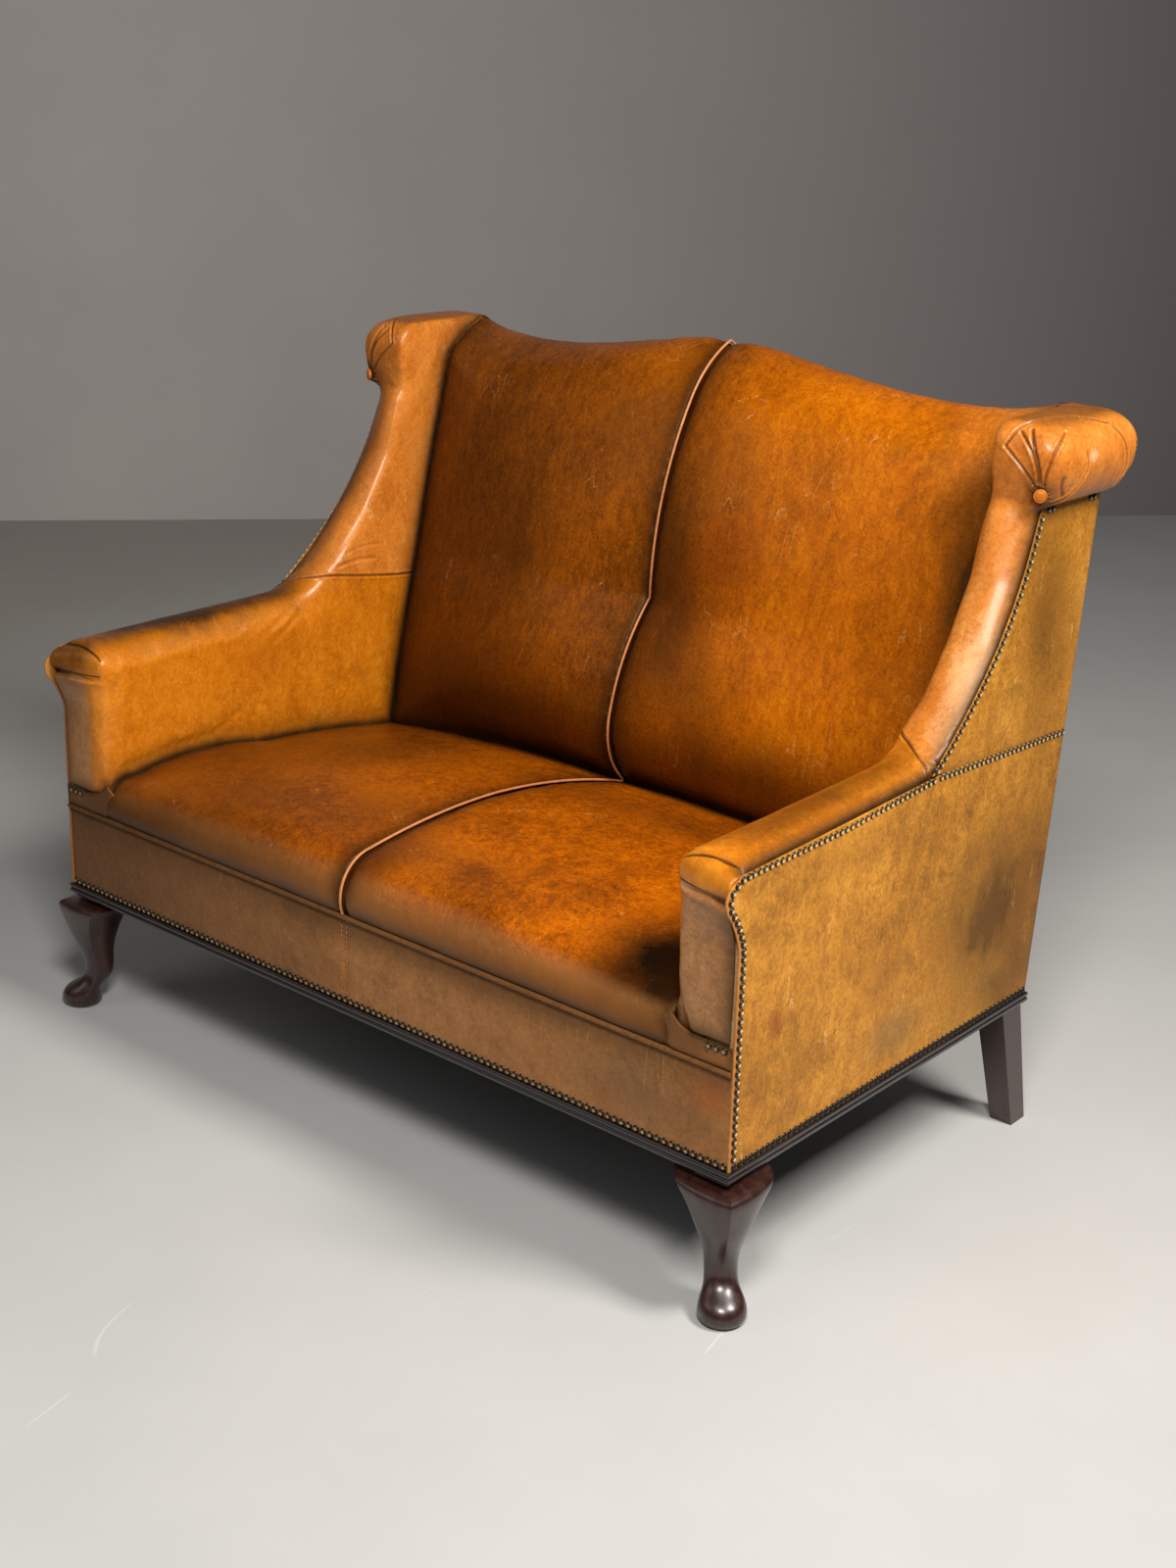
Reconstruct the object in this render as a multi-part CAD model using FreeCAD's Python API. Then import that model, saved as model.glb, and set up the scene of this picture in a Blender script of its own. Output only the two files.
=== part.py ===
import FreeCAD, Part
import math
import os

from FreeCAD import Vector

# Wing-back settee with fixed leather upholstery. X runs across it, +Y to its back, +Z up from the floor.
# While it is built, y = 0 is the front face of the base moulding. The last step centres it over the floor.

# Driving sizes in millimetres
base_width = 1320.0
base_depth = 725.0
leg_height = 195.0
arm_height = 600.0
crest_height = 1066.0
scroll_drop = 131.0
arm_thickness = 100.0
seat_welt_height = 344.0
seat_crown_height = 449.0
back_rake = 0.155
seam_offset = -25.0

# Clearances and materials in sheet form
seat_clearance = 0.3
leather = 2.5
skin = leather + seat_clearance
lip_leather = 1.5
canvas = 1.5
webbing = 2.0

# Base moulding and the leather faces above it
moulding_height = 16.0
moulding_depth = 7.2
moulding_side_share = 0.7
reed_height = 8.0
reed_rise = 2.8
leather_inset = 5.0
side_inset = 3.0
side_front_lean = 5.0
side_rear_lean = 25.0
moulding_top = leg_height + moulding_height
half_side = base_width / 2 - side_inset
front_face = leather_inset
rear_face = base_depth - leather_inset
scroll_foot_height = crest_height - scroll_drop

# Dome-headed nails
nail_radius = 5.2
nail_rise = 3.4
nail_pitch = 11.6
nail_edge = 6.0
base_nail_height = moulding_top + nail_radius + seat_clearance
nail_seat = 0.1
corner_nail_share = 1.6
edge_nail_share = 1.3
first_pitch_share = 0.6
middle_pitch_share = 1.5
wing_samples = 13

# Seat rails and corner blocks
rail_thickness = 30.0
rail_gap = 4.0
rail_top = 335.0
rail_foot = leg_height + rail_gap
brace_height = 40.0
brace_width = 38.0
brace_lift = 6.0
corner_block_reach = 80.0
corner_block_foot = 212.0
corner_block_height = 84.0
corner_block_gap = 6.25

# Front legs, round in section and swept out at knee and foot
front_block = 50.0
leg_reach = 69.0
leg_inset = 52.0
leg_level_shares = (0.0, 0.031, 0.077, 0.138, 0.205, 0.267, 0.338, 0.482, 0.62, 0.744, 0.846, 0.933, 1.0)
leg_reach_shares = (0.35, 0.44, 0.457, 0.42, 0.333, 0.312, 0.319, 0.384, 0.522, 0.652, 0.783, 0.899, 1.0)
leg_inset_shares = (0.06, 0.03, 0.03, 0.08, 0.27, 0.4, 0.44, 0.4, 0.35, 0.35, 0.385, 0.615, 1.0)
leg_square_shares = (1.0, 1.0, 1.0, 1.0, 1.0, 1.0, 0.97, 0.93, 0.88, 0.84, 0.8, 0.78, 0.78)

# Rear legs run up as the back posts
post_width = 45.0
post_depth = 50.0
rear_foot_width = 36.0
rear_foot_depth = 38.0
rear_foot_splay = 12.0
rear_foot_rake = 27.0
post_rise = 50.0
post_top = scroll_foot_height + post_rise

# Arm frame
arm_front = front_face
arm_post_width = 45.0
arm_post_depth = 50.0
arm_rail_height = 30.0
arm_rail_drop = 15.0
tack_rail_height = 30.0
tack_rail_width = 24.0
tack_rail_lift = 40.0
wing_board = 26.0

# The nail line from the top of the arm up the edge of the wing, as points (y, height)
arm_line_rise = 9.0
wing_foot_y = 431.0
wing_rise = scroll_foot_height - arm_height
wing_reach = 244.0
wing_rise_shares = (0.042, 0.25, 0.47, 0.71, 1.0)
wing_reach_shares = (0.0, 0.34, 0.62, 0.835, 1.0)
wing_lead_shares = (0.3, 0.23, 0.45, 0.63, 1.0)
wing_lead = 40.0
wing_roll = 14.0
wing_foot_gap = 30.0
wing_step = 1.0
board_setback = 14.0
mid_line_drop = 4.0

# Inside arm padding
arm_crown = 24.0
arm_pad_foot = 338.0
arm_shoulder = 27.0
arm_slab_share = 0.16
arm_round_share = 0.78
arm_crown_share = 0.25
arm_wall_gap = 1.2

# Front panels and noses of the arms
panel_foot = 379.0
panel_top = 572.0
panel_pad = 6.5
nose_top = 612.0
nose_reach = 27.0
nose_flare = 9.0
nose_foot_share = 0.6
nose_bulge_share = 0.42
nose_lip_share = 0.35
panel_tuck = 34.0
panel_bend = 60.0
panel_bow_share = 0.2

# Seat: cover and stuffing, as shares of its depth and rise at the seam, middle and side of each half
seat_depth = 613.5
seat_half = half_side - arm_thickness - 2 * seat_clearance
cover_leather = 3.0
seat_foot = seat_welt_height + 5.0
seat_rise = seat_crown_height - seat_foot
seat_place_shares = (0.0, 0.45, 1.0)
seat_depth_shares = (-0.002, 0.0, 0.086, 0.284, 0.505, 0.769, 0.985, 1.0)
seat_rise_shares = (
    (0.0, 0.48, 0.84, 0.985, 1.0, 0.78, 0.43, 0.0),
    (0.0, 0.48, 0.83, 0.985, 0.99, 0.77, 0.42, 0.0),
    (0.0, 0.3, 0.57, 0.69, 0.52, 0.37, 0.17, 0.0),
)
front_lip_height = 29.0

# Back: bulge in front of the groove line, as shares, at four places across each half
back_foot = 366.0
roll_drop = 76.0
roll_foot = crest_height - roll_drop
groove_foot = 619.0
groove_rake = 0.213
back_bulge = 81.0
back_half = seat_half
back_level_shares = (0.0, 0.125, 0.25, 0.4, 0.51, 0.72, 1.0)
back_place_shares = (0.0, 0.3, 0.6, 1.0)
back_tuck_shares = (0.46, 0.475, 0.41, 0.2)
back_bulge_shares = (
    (0.2, 0.76, 1.0, 0.8, 0.35, 0.52, 0.1),
    (0.2, 0.75, 0.98, 0.89, 0.7, 0.62, 0.15),
    (0.17, 0.66, 0.86, 0.78, 0.62, 0.54, 0.13),
    (0.09, 0.12, 0.13, 0.12, 0.11, 0.1, 0.03),
)
crest_drop = 36.0
crest_drop_shares = (0.0, 0.4, 1.0, 0.5)
crest_setback = 17.525
crest_y = rear_face + back_rake * (crest_height - moulding_top) - crest_setback
roll_lap = 3.0
roll_end = scroll_foot_height + roll_lap
roll_overhang = 40.0
roll_front_reach_share = 0.43
roll_front_rise_share = 0.59

# Back frame
top_rail_lap = 30.0
top_rail_foot = scroll_foot_height - top_rail_lap
top_rail_drop = 42.0
back_tack_foot = 350.0
back_tack_height = 50.0
stile_width = 60.0

# Piping and welt
piping_radius = 2.5
welt_radius = 4.0
border_gap = 0.3
seat_samples = 5
back_samples = 4

# Scrolls at the tops of the wings, in levels from foot to top
scroll_lead = 35.0
scroll_front = wing_foot_y + wing_reach - scroll_lead
scroll_depth = 232.0
scroll_width = 113.0
scroll_height = 114.0
scroll_bend = 28.0
scroll_slant = 10.0
scroll_tight_share = 0.125
scroll_round_share = 0.25
scroll_bow_share = 0.333
scroll_level_shares = (0.0, 0.13, 0.43, 0.7, 0.9, 1.0)
scroll_outer_shares = (0.75, 0.91, 1.0, 0.98, 0.85, 0.6)
scroll_front_shares = (0.03, 0.02, 0.0, 0.0, 0.045, 0.13)
scroll_rear_shares = (0.86, 0.92, 0.985, 1.0, 0.96, 0.86)
scroll_inner_shares = (0.0, 0.0, 0.0, 0.0, 0.03, 0.12)
button_radius = 9.5
button_rise = 4.5
button_lift = 4.3
button_rise_z = 20.0
button_height = scroll_foot_height + button_rise_z
button_inset = 19.5
button_x = half_side - button_inset
button_setback = 9.5
button_y = scroll_front + button_setback
button_turn_share = 0.55

# Springs, webbing and cloths
spring_columns = 6
spring_rows = 3
spring_radius = 38.0
spring_wire = 1.9
spring_turns = 5
spring_margin = 75.0
web_width = 50.0
seat_web_columns = 7
seat_web_rows = 4
back_web_columns = 5
back_web_rows = 4
cloth = 1.2
web_gap = 0.45
web_lap = 24.0
web_side_lap = 15.0
canvas_lap = 30.0
canvas_side_lap = 10.0


def side_x(y, z):
    reach = min(max((y - arm_front) / (wing_foot_y - arm_front), 0.0), 1.0)
    lean = side_front_lean + (side_rear_lean - side_front_lean) * reach
    return half_side - lean * (z - moulding_top) / (scroll_foot_height - moulding_top)


def rear_y(z):
    return rear_face + back_rake * (z - moulding_top)


def groove_y(z):
    return groove_foot + groove_rake * (z - back_foot)


def frame_rear(z):
    return rear_y(z) - leather


def frame_front(z):
    return frame_rear(z) - post_depth


def polygon(points):
    return Part.makePolygon(list(points) + [points[0]])


def ruled(sections):
    return Part.makeLoft(sections, True, True)


def smooth(sections):
    return Part.makeLoft(sections, True, False)


def box(x0, x1, y0, y1, z0, z1):
    low = Vector(min(x0, x1), y0, z0)
    return Part.makeBox(abs(x1 - x0), y1 - y0, z1 - z0, low)


def mirrored(shape):
    return shape.mirror(Vector(0, 0, 0), Vector(1, 0, 0))


# A closed outline of points. A point held in a tuple is the middle of an arc between its neighbours.
def outline(items):
    edges = []
    count = len(items)
    at = 0
    while at < count:
        start = items[at]
        after = items[(at + 1) % count]
        if isinstance(after, tuple):
            end = items[(at + 2) % count]
            edges.append(Part.Arc(start, after[0], end).toShape())
            at += 2
        else:
            edges.append(Part.LineSegment(start, after).toShape())
            at += 1
    return Part.Wire(edges)


# A bar whose four side faces run from one level's rectangle to the next
def bar(levels):
    sections = []
    for x0, x1, y0, y1, z in levels:
        corners = [(x0, y0), (x1, y0), (x1, y1), (x0, y1)]
        sections.append(polygon([Vector(x, y, z) for x, y in corners]))
    return ruled(sections)


# Offsets an open chain of flat points (a, b) to its right-hand side, keeping arcs as arcs
def offset_chain(chain, distance):
    flat = [p[0] if isinstance(p, tuple) and isinstance(p[0], tuple) else p for p in chain]
    moved = []
    for i, (a, b) in enumerate(flat):
        before = flat[max(i - 1, 0)]
        after = flat[min(i + 1, len(flat) - 1)]
        run = math.hypot(after[0] - before[0], after[1] - before[1])
        normal = ((after[1] - before[1]) / run, -(after[0] - before[0]) / run)
        moved.append((a + normal[0] * distance, b + normal[1] * distance))
    return [(m,) if isinstance(p[0], tuple) else m for p, m in zip(chain, moved)]


def lift(chain, place):
    return [(place(p[0]),) if isinstance(p[0], tuple) else place(p) for p in chain]


def plane_x(x):
    return lambda p: Vector(x, p[0], p[1])


# Base moulding: four strips with two reeds, mitred at the corners
def moulding_section(corner_x, corner_y, sign_x, sign_y):
    def place(p):
        return Vector(corner_x + sign_x * p[0] * moulding_side_share, corner_y + sign_y * p[0], p[1])

    foot = leg_height
    groove = foot + reed_height
    shape = [
        (-moulding_depth, foot),
        (-reed_rise, foot),
        ((0.0, (foot + groove) / 2),),
        (-reed_rise, groove),
        ((0.0, (groove + moulding_top) / 2),),
        (-reed_rise, moulding_top),
        (-moulding_depth, moulding_top),
    ]
    return outline(lift(shape, place))


def base_moulding():
    half = base_width / 2
    corners = [(-half, 0.0, -1, -1), (half, 0.0, 1, -1)]
    corners += [(half, base_depth, 1, 1), (-half, base_depth, -1, 1)]
    ends = [moulding_section(*corner) for corner in corners]
    strips = [ruled([ends[i], ends[(i + 1) % len(ends)]]) for i in range(len(ends))]
    return strips


# Outer face of the frame behind the side leather, at a front corner
def block_x():
    return side_x(front_face + leather + front_block, rail_top) - skin


# Cabriole front leg with its square block between the rails
def front_leg():
    corner_x = block_x()
    corner_y = front_face + leather
    under = leg_height - seat_clearance
    sections = []
    rows = zip(leg_level_shares, leg_reach_shares, leg_inset_shares, leg_square_shares)
    for level, reach_share, inset_share, square_share in rows:
        z = under * level
        reach = leg_reach * reach_share
        x = half_side - leg_inset * inset_share
        y = corner_y + leg_inset * inset_share
        points = []
        for turn in range(4):
            corner = math.pi / 4 + math.pi / 2 * turn
            middle = corner + math.pi / 4
            side = reach * square_share
            points.append(Vector(x + reach * math.cos(corner), y + reach * math.sin(corner), z))
            points.append((Vector(x + side * math.cos(middle), y + side * math.sin(middle), z),))
        sections.append(outline(points))
    foot = under - nail_edge
    block = box(corner_x - front_block, corner_x, corner_y, corner_y + front_block, foot, rail_top)
    return smooth(sections).fuse(block).removeSplitter()


# Rear leg and back post in one piece, raked at both ends
def rear_post():
    def level(z, height):
        x = side_x(wing_foot_y, height) - skin
        return (x - post_width, x, frame_front(height), frame_rear(height), z)

    knee_z = leg_height - seat_clearance
    knee = level(knee_z, knee_z)
    out = knee[1] + rear_foot_splay
    back = knee[3] + rear_foot_rake
    foot = (out - rear_foot_width, out, back - rear_foot_depth, back, 0.0)
    return bar([foot, knee, level(moulding_top, moulding_top), level(post_top, post_top)])


# A rail along one side, from the front block or post to the back post, that follows the side leather
def side_bar(front_y, foot, top, width):
    sections = []
    for y in (front_y, wing_foot_y, None):
        points = []
        for z, inset in ((foot, width), (foot, 0.0), (top, 0.0), (top, width)):
            at = frame_front(z) if y is None else y
            points.append(Vector(side_x(at, z) - skin - inset, at, z))
        sections.append(polygon(points))
    return ruled(sections)


def rails():
    inner = block_x() - front_block
    front_y = front_face + leather
    front = box(-inner, inner, front_y, front_y + rail_thickness, rail_foot, rail_top)
    levels = []
    for z in (rail_foot, rail_top):
        x = side_x(wing_foot_y, z) - skin - post_width
        levels.append((-x, x, frame_rear(z) - rail_thickness, frame_rear(z), z))
    side = side_bar(front_y + front_block, rail_foot + webbing, rail_top, rail_thickness)
    return front, bar(levels), side


def seat_brace():
    front = front_face + leather + rail_thickness
    z0 = rail_foot + brace_lift
    z1 = z0 + brace_height
    rear0 = frame_rear(z0) - rail_thickness
    rear1 = frame_rear(z1) - rail_thickness
    half = brace_width / 2
    return bar([(-half, half, front, rear0, z0), (-half, half, front, rear1, z1)])


def corner_blocks(leg, post):
    z0 = corner_block_foot
    z1 = z0 + corner_block_height
    blocks = []
    front = front_face + leather + rail_thickness
    x = side_x(wing_foot_y, z0) - leather - rail_thickness - corner_block_gap
    points = [(x, front), (x - corner_block_reach, front), (x, front + corner_block_reach)]
    triangle = Part.Face(polygon([Vector(a, b, z0) for a, b in points]))
    block = triangle.extrude(Vector(0, 0, z1 - z0)).cut(leg)
    blocks.append(block)
    rear = frame_rear(z0) - rail_thickness
    points = [(x, rear), (x - corner_block_reach, rear), (x, rear - corner_block_reach)]
    triangle = Part.Face(polygon([Vector(a, b, z0) for a, b in points]))
    block = triangle.extrude(Vector(0, 0, z1 - z0)).cut(post)
    blocks.append(block)
    return blocks + [mirrored(b) for b in blocks]


# Arm frame: front post, top rail and the lower rail that the cover is tacked to
def arm_post():
    top = arm_height - arm_rail_drop - arm_rail_height
    front_y = front_face + leather
    levels = []
    for z in (rail_top, top):
        x = side_x(front_y + arm_post_depth, z) - skin
        levels.append((x - arm_post_width, x, front_y, front_y + arm_post_depth, z))
    return bar(levels)


def arm_rail():
    top = arm_height - arm_rail_drop
    return side_bar(front_face + leather, top - arm_rail_height, top, arm_post_width)


def arm_tack_rail():
    z0 = rail_top + tack_rail_lift
    z1 = z0 + tack_rail_height
    top = arm_height - arm_rail_drop
    sections = []
    for y in (front_face + leather + arm_post_depth, wing_foot_y, None):
        points = []
        for z, reach in ((z0, 0.0), (z0, tack_rail_width), (z1, tack_rail_width), (z1, 0.0)):
            at = frame_front(z) if y is None else y
            points.append(Vector(side_x(at, top) - skin - arm_post_width + reach, at, z))
        sections.append(polygon(points))
    return ruled(sections)


# The nail line's place at each level of the wing
def wing_levels():
    rows = []
    for rise, reach, lead in zip(wing_rise_shares, wing_reach_shares, wing_lead_shares):
        z = arm_height + wing_rise * rise
        rows.append((z, wing_foot_y + wing_reach * reach, wing_lead * lead))
    return rows


def wing_curve(setback, x_inset):
    def place(row):
        z, y, lead = row
        return Vector(side_x(y, z) - x_inset, y + setback, z)

    rows = [place(row) for row in wing_levels()]
    return [rows[0], (rows[1],), rows[2], (rows[3],), rows[4]]


def wing_frame():
    foot = arm_height - arm_rail_drop
    top = scroll_foot_height - seat_clearance
    curve = wing_curve(board_setback, skin)
    first = curve[0]
    start = Vector(side_x(wing_foot_y, foot) - skin, first.y - board_setback / 2, foot)
    rear_top = Vector(side_x(wing_foot_y, top) - skin, frame_front(top), top)
    rear_foot = Vector(side_x(wing_foot_y, foot) - skin, frame_front(foot), foot)
    face = Part.Face(outline([start] + curve + [rear_top, rear_foot]))
    return face.extrude(Vector(-wing_board, 0, 0))


# Outside leather on the sides, below and above the middle row of nails
def lower_panel():
    sections = []
    for y, top in ((front_face, arm_height), (wing_foot_y, arm_height + arm_line_rise), (None, arm_height)):
        foot_y = rear_y(moulding_top) if y is None else y
        high = top + nail_edge if y is not None else top - mid_line_drop
        top_y = rear_y(high) if y is None else y
        x0 = side_x(foot_y, moulding_top)
        x1 = side_x(top_y, high)
        sections.append(polygon([
            Vector(x0 - leather, foot_y, moulding_top),
            Vector(x0, foot_y, moulding_top),
            Vector(x1, top_y, high),
            Vector(x1 - leather, top_y, high),
        ]))
    return ruled(sections)


def upper_panel():
    top = scroll_foot_height
    gap = seat_clearance
    curve = wing_curve(-nail_edge, 0.0)
    first = curve[0]
    foot_z = arm_height + arm_line_rise + nail_edge + gap
    rear_z = arm_height - mid_line_drop + gap
    start = Vector(side_x(wing_foot_y, foot_z), wing_foot_y, foot_z)
    rear_foot = Vector(side_x(wing_foot_y, rear_z), rear_y(rear_z), rear_z)
    rear_top = Vector(side_x(wing_foot_y, top), rear_y(top), top)
    items = [start] + curve[1 if first.z < foot_z else 0:] + [rear_top, rear_foot]
    face = Part.Face(outline(items))
    return face.extrude(Vector(-leather, 0, 0))


def outside_back():
    levels = []
    for z in (moulding_top, scroll_foot_height):
        x = side_x(wing_foot_y, z) - leather
        levels.append((-x, x, frame_rear(z), rear_y(z), z))
    return bar(levels)


# Padding on the inside and top of an arm. Behind the foot of the wing only its inner slab goes on.
def inside_arm():
    inner = half_side - arm_thickness
    rest = webbing + canvas + 2 * seat_clearance
    stations = [
        (front_face + leather + seat_clearance, True),
        ((front_face + wing_foot_y) / 2, True),
        (wing_foot_y - wing_foot_gap - wing_step, True),
        (wing_foot_y - wing_foot_gap, False),
        (wing_foot_y, False),
        (frame_front(arm_pad_foot) - rest, False),
    ]
    sections = []
    for y, crowned in stations:
        line = arm_height + arm_line_rise * min(y / wing_foot_y, 1.0)
        low = line - arm_rail_drop + seat_clearance
        wall_x = side_x(y, line) - skin - arm_post_width - arm_wall_gap
        if crowned:
            crown = arm_crown
            outer_x = side_x(y, line) - skin
            edge = line + nail_edge
            shoulder = line - arm_shoulder
        else:
            crown = arm_crown * arm_slab_share
            outer_x = wall_x + seat_clearance
            edge = line
            shoulder = line - nail_edge
        side = inner + (wall_x - inner) * arm_crown_share
        points = [
            Vector(inner, y, arm_pad_foot),
            Vector(wall_x, y, arm_pad_foot),
            Vector(wall_x, y, low),
            Vector(outer_x, y, low),
            Vector(outer_x, y, edge),
            (Vector((outer_x + wall_x) / 2, y, edge + (line + crown - edge) * arm_round_share),),
            Vector(wall_x, y, line + crown),
            (Vector(side, y, shoulder + (line + crown - shoulder) * arm_round_share),),
            Vector(inner, y, shoulder),
        ]
        sections.append(outline(points))
    return ruled(sections)


# Padding round the front edge and inner face of a wing, in level slices
def inside_wing():
    inner = half_side - arm_thickness
    wall = skin + wing_board + seat_clearance
    rest = webbing + canvas + 2 * seat_clearance
    sections = []
    for i, (z, y, lead) in enumerate(wing_levels()):
        level = max(z, arm_height + arm_line_rise + nail_edge + seat_clearance)
        if i == len(wing_levels()) - 1:
            level = scroll_foot_height - seat_clearance
        outer_x = side_x(y, level) - skin
        wall_x = side_x(y, level) - wall
        rear = frame_front(level) - rest
        nail_y = y - nail_edge
        inner_y = y - lead
        points = [
            Vector(outer_x, nail_y, level),
            (Vector((outer_x + inner) / 2, (nail_y + inner_y) / 2 - wing_roll, level),),
            Vector(inner + wing_roll / 2, inner_y, level),
            (Vector(inner, inner_y + wing_roll, level),),
            Vector(inner, inner_y + 2 * wing_roll, level),
            Vector(inner, rear, level),
            Vector(wall_x, rear, level),
            Vector(wall_x, y + board_setback - seat_clearance, level),
            Vector(outer_x, y + board_setback - seat_clearance, level),
        ]
        sections.append(outline(points))
    return ruled(sections)


# Soft scroll on top of a wing, round the head of the back post
def scroll():
    inner = half_side - arm_thickness + seat_clearance
    foot = scroll_foot_height + seat_clearance
    bend = scroll_bend
    tight = bend * scroll_tight_share
    turn = bend * scroll_round_share
    sections = []
    sides = zip(scroll_inner_shares, scroll_outer_shares)
    ends = zip(scroll_front_shares, scroll_rear_shares)
    rows = [(level, *side, *end) for level, side, end in zip(scroll_level_shares, sides, ends)]
    for level, inner_share, outer_share, front_share, rear_share in rows:
        z = foot + scroll_height * level
        x0 = inner + scroll_width * inner_share
        x1 = inner + scroll_width * outer_share
        y0 = scroll_front + scroll_depth * front_share
        y1 = scroll_front + scroll_depth * rear_share
        slant = y0 + scroll_slant
        points = [
            Vector(x0, y0 + bend / 2, z),
            (Vector(x0 + tight, y0 + tight, z),),
            Vector(x0 + bend / 2, y0, z),
            Vector(x1 - bend, slant - turn, z),
            (Vector(x1 - turn, slant + bend * scroll_bow_share, z),),
            Vector(x1, slant + bend, z),
            Vector(x1, y1 - bend, z),
            (Vector(x1 - turn, y1 - turn, z),),
            Vector(x1 - bend, y1, z),
            Vector(x0, y1, z),
        ]
        sections.append(outline(points))
    top = max(post_top, crest_height - crest_drop - top_rail_drop) + seat_clearance
    levels = []
    for z in (scroll_foot_height, top):
        x = side_x(wing_foot_y, z) - leather
        y0 = frame_front(z) - webbing - canvas - seat_clearance
        y1 = frame_rear(z) + seat_clearance
        levels.append((inner - seat_clearance, x, y0, y1, z))
    return smooth(sections).cut(bar(levels))


# Closed band of cover leather and the stuffing inside it, from an open chain of points
def band(chain, thickness, place):
    inner = offset_chain(chain, thickness)
    return outline(lift(chain + inner[::-1], place))


def seat_chain(shares):
    points = []
    for depth_share, rise_share in zip(seat_depth_shares, shares):
        points.append((front_face - leather + seat_depth * depth_share, seat_foot + seat_rise * rise_share))
    return [points[0], (points[1],), points[2], (points[3],), points[4], (points[5],), points[6], points[7]]


def half_places(shares, half, side):
    start = seam_offset + side * (piping_radius + seat_clearance)
    return [start + (side * half - start) * share for share in shares]


def seat_cover(side):
    xs = half_places(seat_place_shares, seat_half, side)
    sections = [band(seat_chain(s), cover_leather, plane_x(x)) for x, s in zip(xs, seat_rise_shares)]
    cover = smooth(sections)
    inner = side * (seat_half - cover_leather)
    outer = side * (side_x(front_face, seat_foot + front_lip_height) - skin)
    y0 = front_face - leather
    lip = box(inner, outer, y0, y0 + lip_leather, seat_foot, seat_foot + front_lip_height)
    return cover.fuse(lip).removeSplitter()


def seat_stuffing():
    halves = []
    for side in (-1, 1):
        sections = []
        for x, shares in zip(half_places(seat_place_shares, seat_half, side), seat_rise_shares):
            inner = offset_chain(seat_chain(shares), cover_leather + 2 * seat_clearance)
            deck = rail_top + canvas + seat_clearance
            behind_welt = front_face + skin
            front = [(behind_welt, deck), (behind_welt, seat_foot - seat_clearance)]
            rear = [(inner[-1][0], deck)]
            sections.append(outline(lift(front + inner + rear, plane_x(x))))
        halves.append(smooth(sections))
    return halves


def back_chain(bulges, drop, tuck):
    points = []
    for level, bulge in zip(back_level_shares, bulges):
        z = back_foot + (roll_foot - back_foot) * level
        points.append((groove_y(z) - back_bulge * bulge, z))
    tuck_z = seat_foot + seat_rise * tuck
    points[0] = (groove_y(tuck_z) - back_bulge * bulges[0], tuck_z)
    foot = (front_face - leather + seat_depth + 2 * seat_clearance, seat_foot)
    top = crest_height - crest_drop * drop
    last_y, last_z = points[-1]
    front = (
        last_y + (crest_y - last_y) * roll_front_reach_share,
        last_z + (top - last_z) * roll_front_rise_share,
    )
    crest = (crest_y, top)
    behind = (crest_y + roll_overhang, (top + roll_end) / 2)
    end = (rear_y(roll_end) + cover_leather + seat_clearance, roll_end)
    return [
        foot, points[0], (points[1],), points[2], (points[3],), points[4], (points[5],), points[6],
        (front,), crest, (behind,), end,
    ]


def back_cover(side):
    xs = half_places(back_place_shares, back_half, side)
    rows = zip(xs, back_bulge_shares, crest_drop_shares, back_tuck_shares)
    return smooth([band(back_chain(b, d, t), cover_leather, plane_x(x)) for x, b, d, t in rows])


def back_stuffing():
    rail = crest_height - crest_drop - top_rail_drop + seat_clearance
    foot = seat_foot + cover_leather
    rest = webbing + canvas + seat_clearance
    path = [
        (frame_rear(rail) + seat_clearance, rail),
        (frame_front(rail) - rest, rail),
        (frame_front(foot) - rest, foot),
    ]
    halves = []
    for side in (-1, 1):
        xs = half_places(back_place_shares, back_half, side)
        sections = []
        for x, bulges, drop, tuck in zip(xs, back_bulge_shares, crest_drop_shares, back_tuck_shares):
            inner = offset_chain(back_chain(bulges, drop, tuck), cover_leather + 2 * seat_clearance)
            sections.append(outline(lift(inner + path, plane_x(x))))
        halves.append(smooth(sections))
    return halves


# Points along an open chain of lines and arcs, for the piping that follows it
def sampled(chain, place, pieces):
    points = []
    at = 0
    lifted = lift(chain, place)
    while at < len(lifted) - 1:
        start = lifted[at]
        after = lifted[at + 1]
        if isinstance(after, tuple):
            edge = Part.Arc(start, after[0], lifted[at + 2]).toShape()
            at += 2
        else:
            edge = Part.LineSegment(start, after).toShape()
            at += 1
        found = edge.discretize(pieces + 1)
        points += found if not points else found[1:]
    return points


def cord_through(points, radius):
    rings = []
    for i, point in enumerate(points):
        before = points[max(i - 1, 0)]
        after = points[min(i + 1, len(points) - 1)]
        rings.append(Part.Wire([Part.Circle(point, after - before, radius).toShape()]))
    return ruled(rings)


def seat_piping():
    chain = seat_chain(seat_rise_shares[0])[:-1]
    return cord_through(sampled(chain, plane_x(seam_offset), seat_samples), piping_radius)


def back_piping():
    chain = back_chain(back_bulge_shares[0], crest_drop_shares[0], back_tuck_shares[0])[1:]
    return cord_through(sampled(chain, plane_x(seam_offset), back_samples)[1:], piping_radius)


# Front border in two panels that meet at the seam, and the welt above it
def front_border():
    panels = []
    top = seat_welt_height - welt_radius - border_gap
    for side in (-1, 1):
        low = side * (side_x(front_face, top) - skin)
        panels.append(box(seam_offset, low, front_face, front_face + leather, moulding_top, top))
    return panels


def front_welt():
    half = side_x(front_face, seat_welt_height + welt_radius) - skin
    y = front_face + leather - welt_radius
    start = Vector(-half, y, seat_welt_height)
    return Part.makeCylinder(welt_radius, 2 * half, start, Vector(1, 0, 0))


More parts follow.
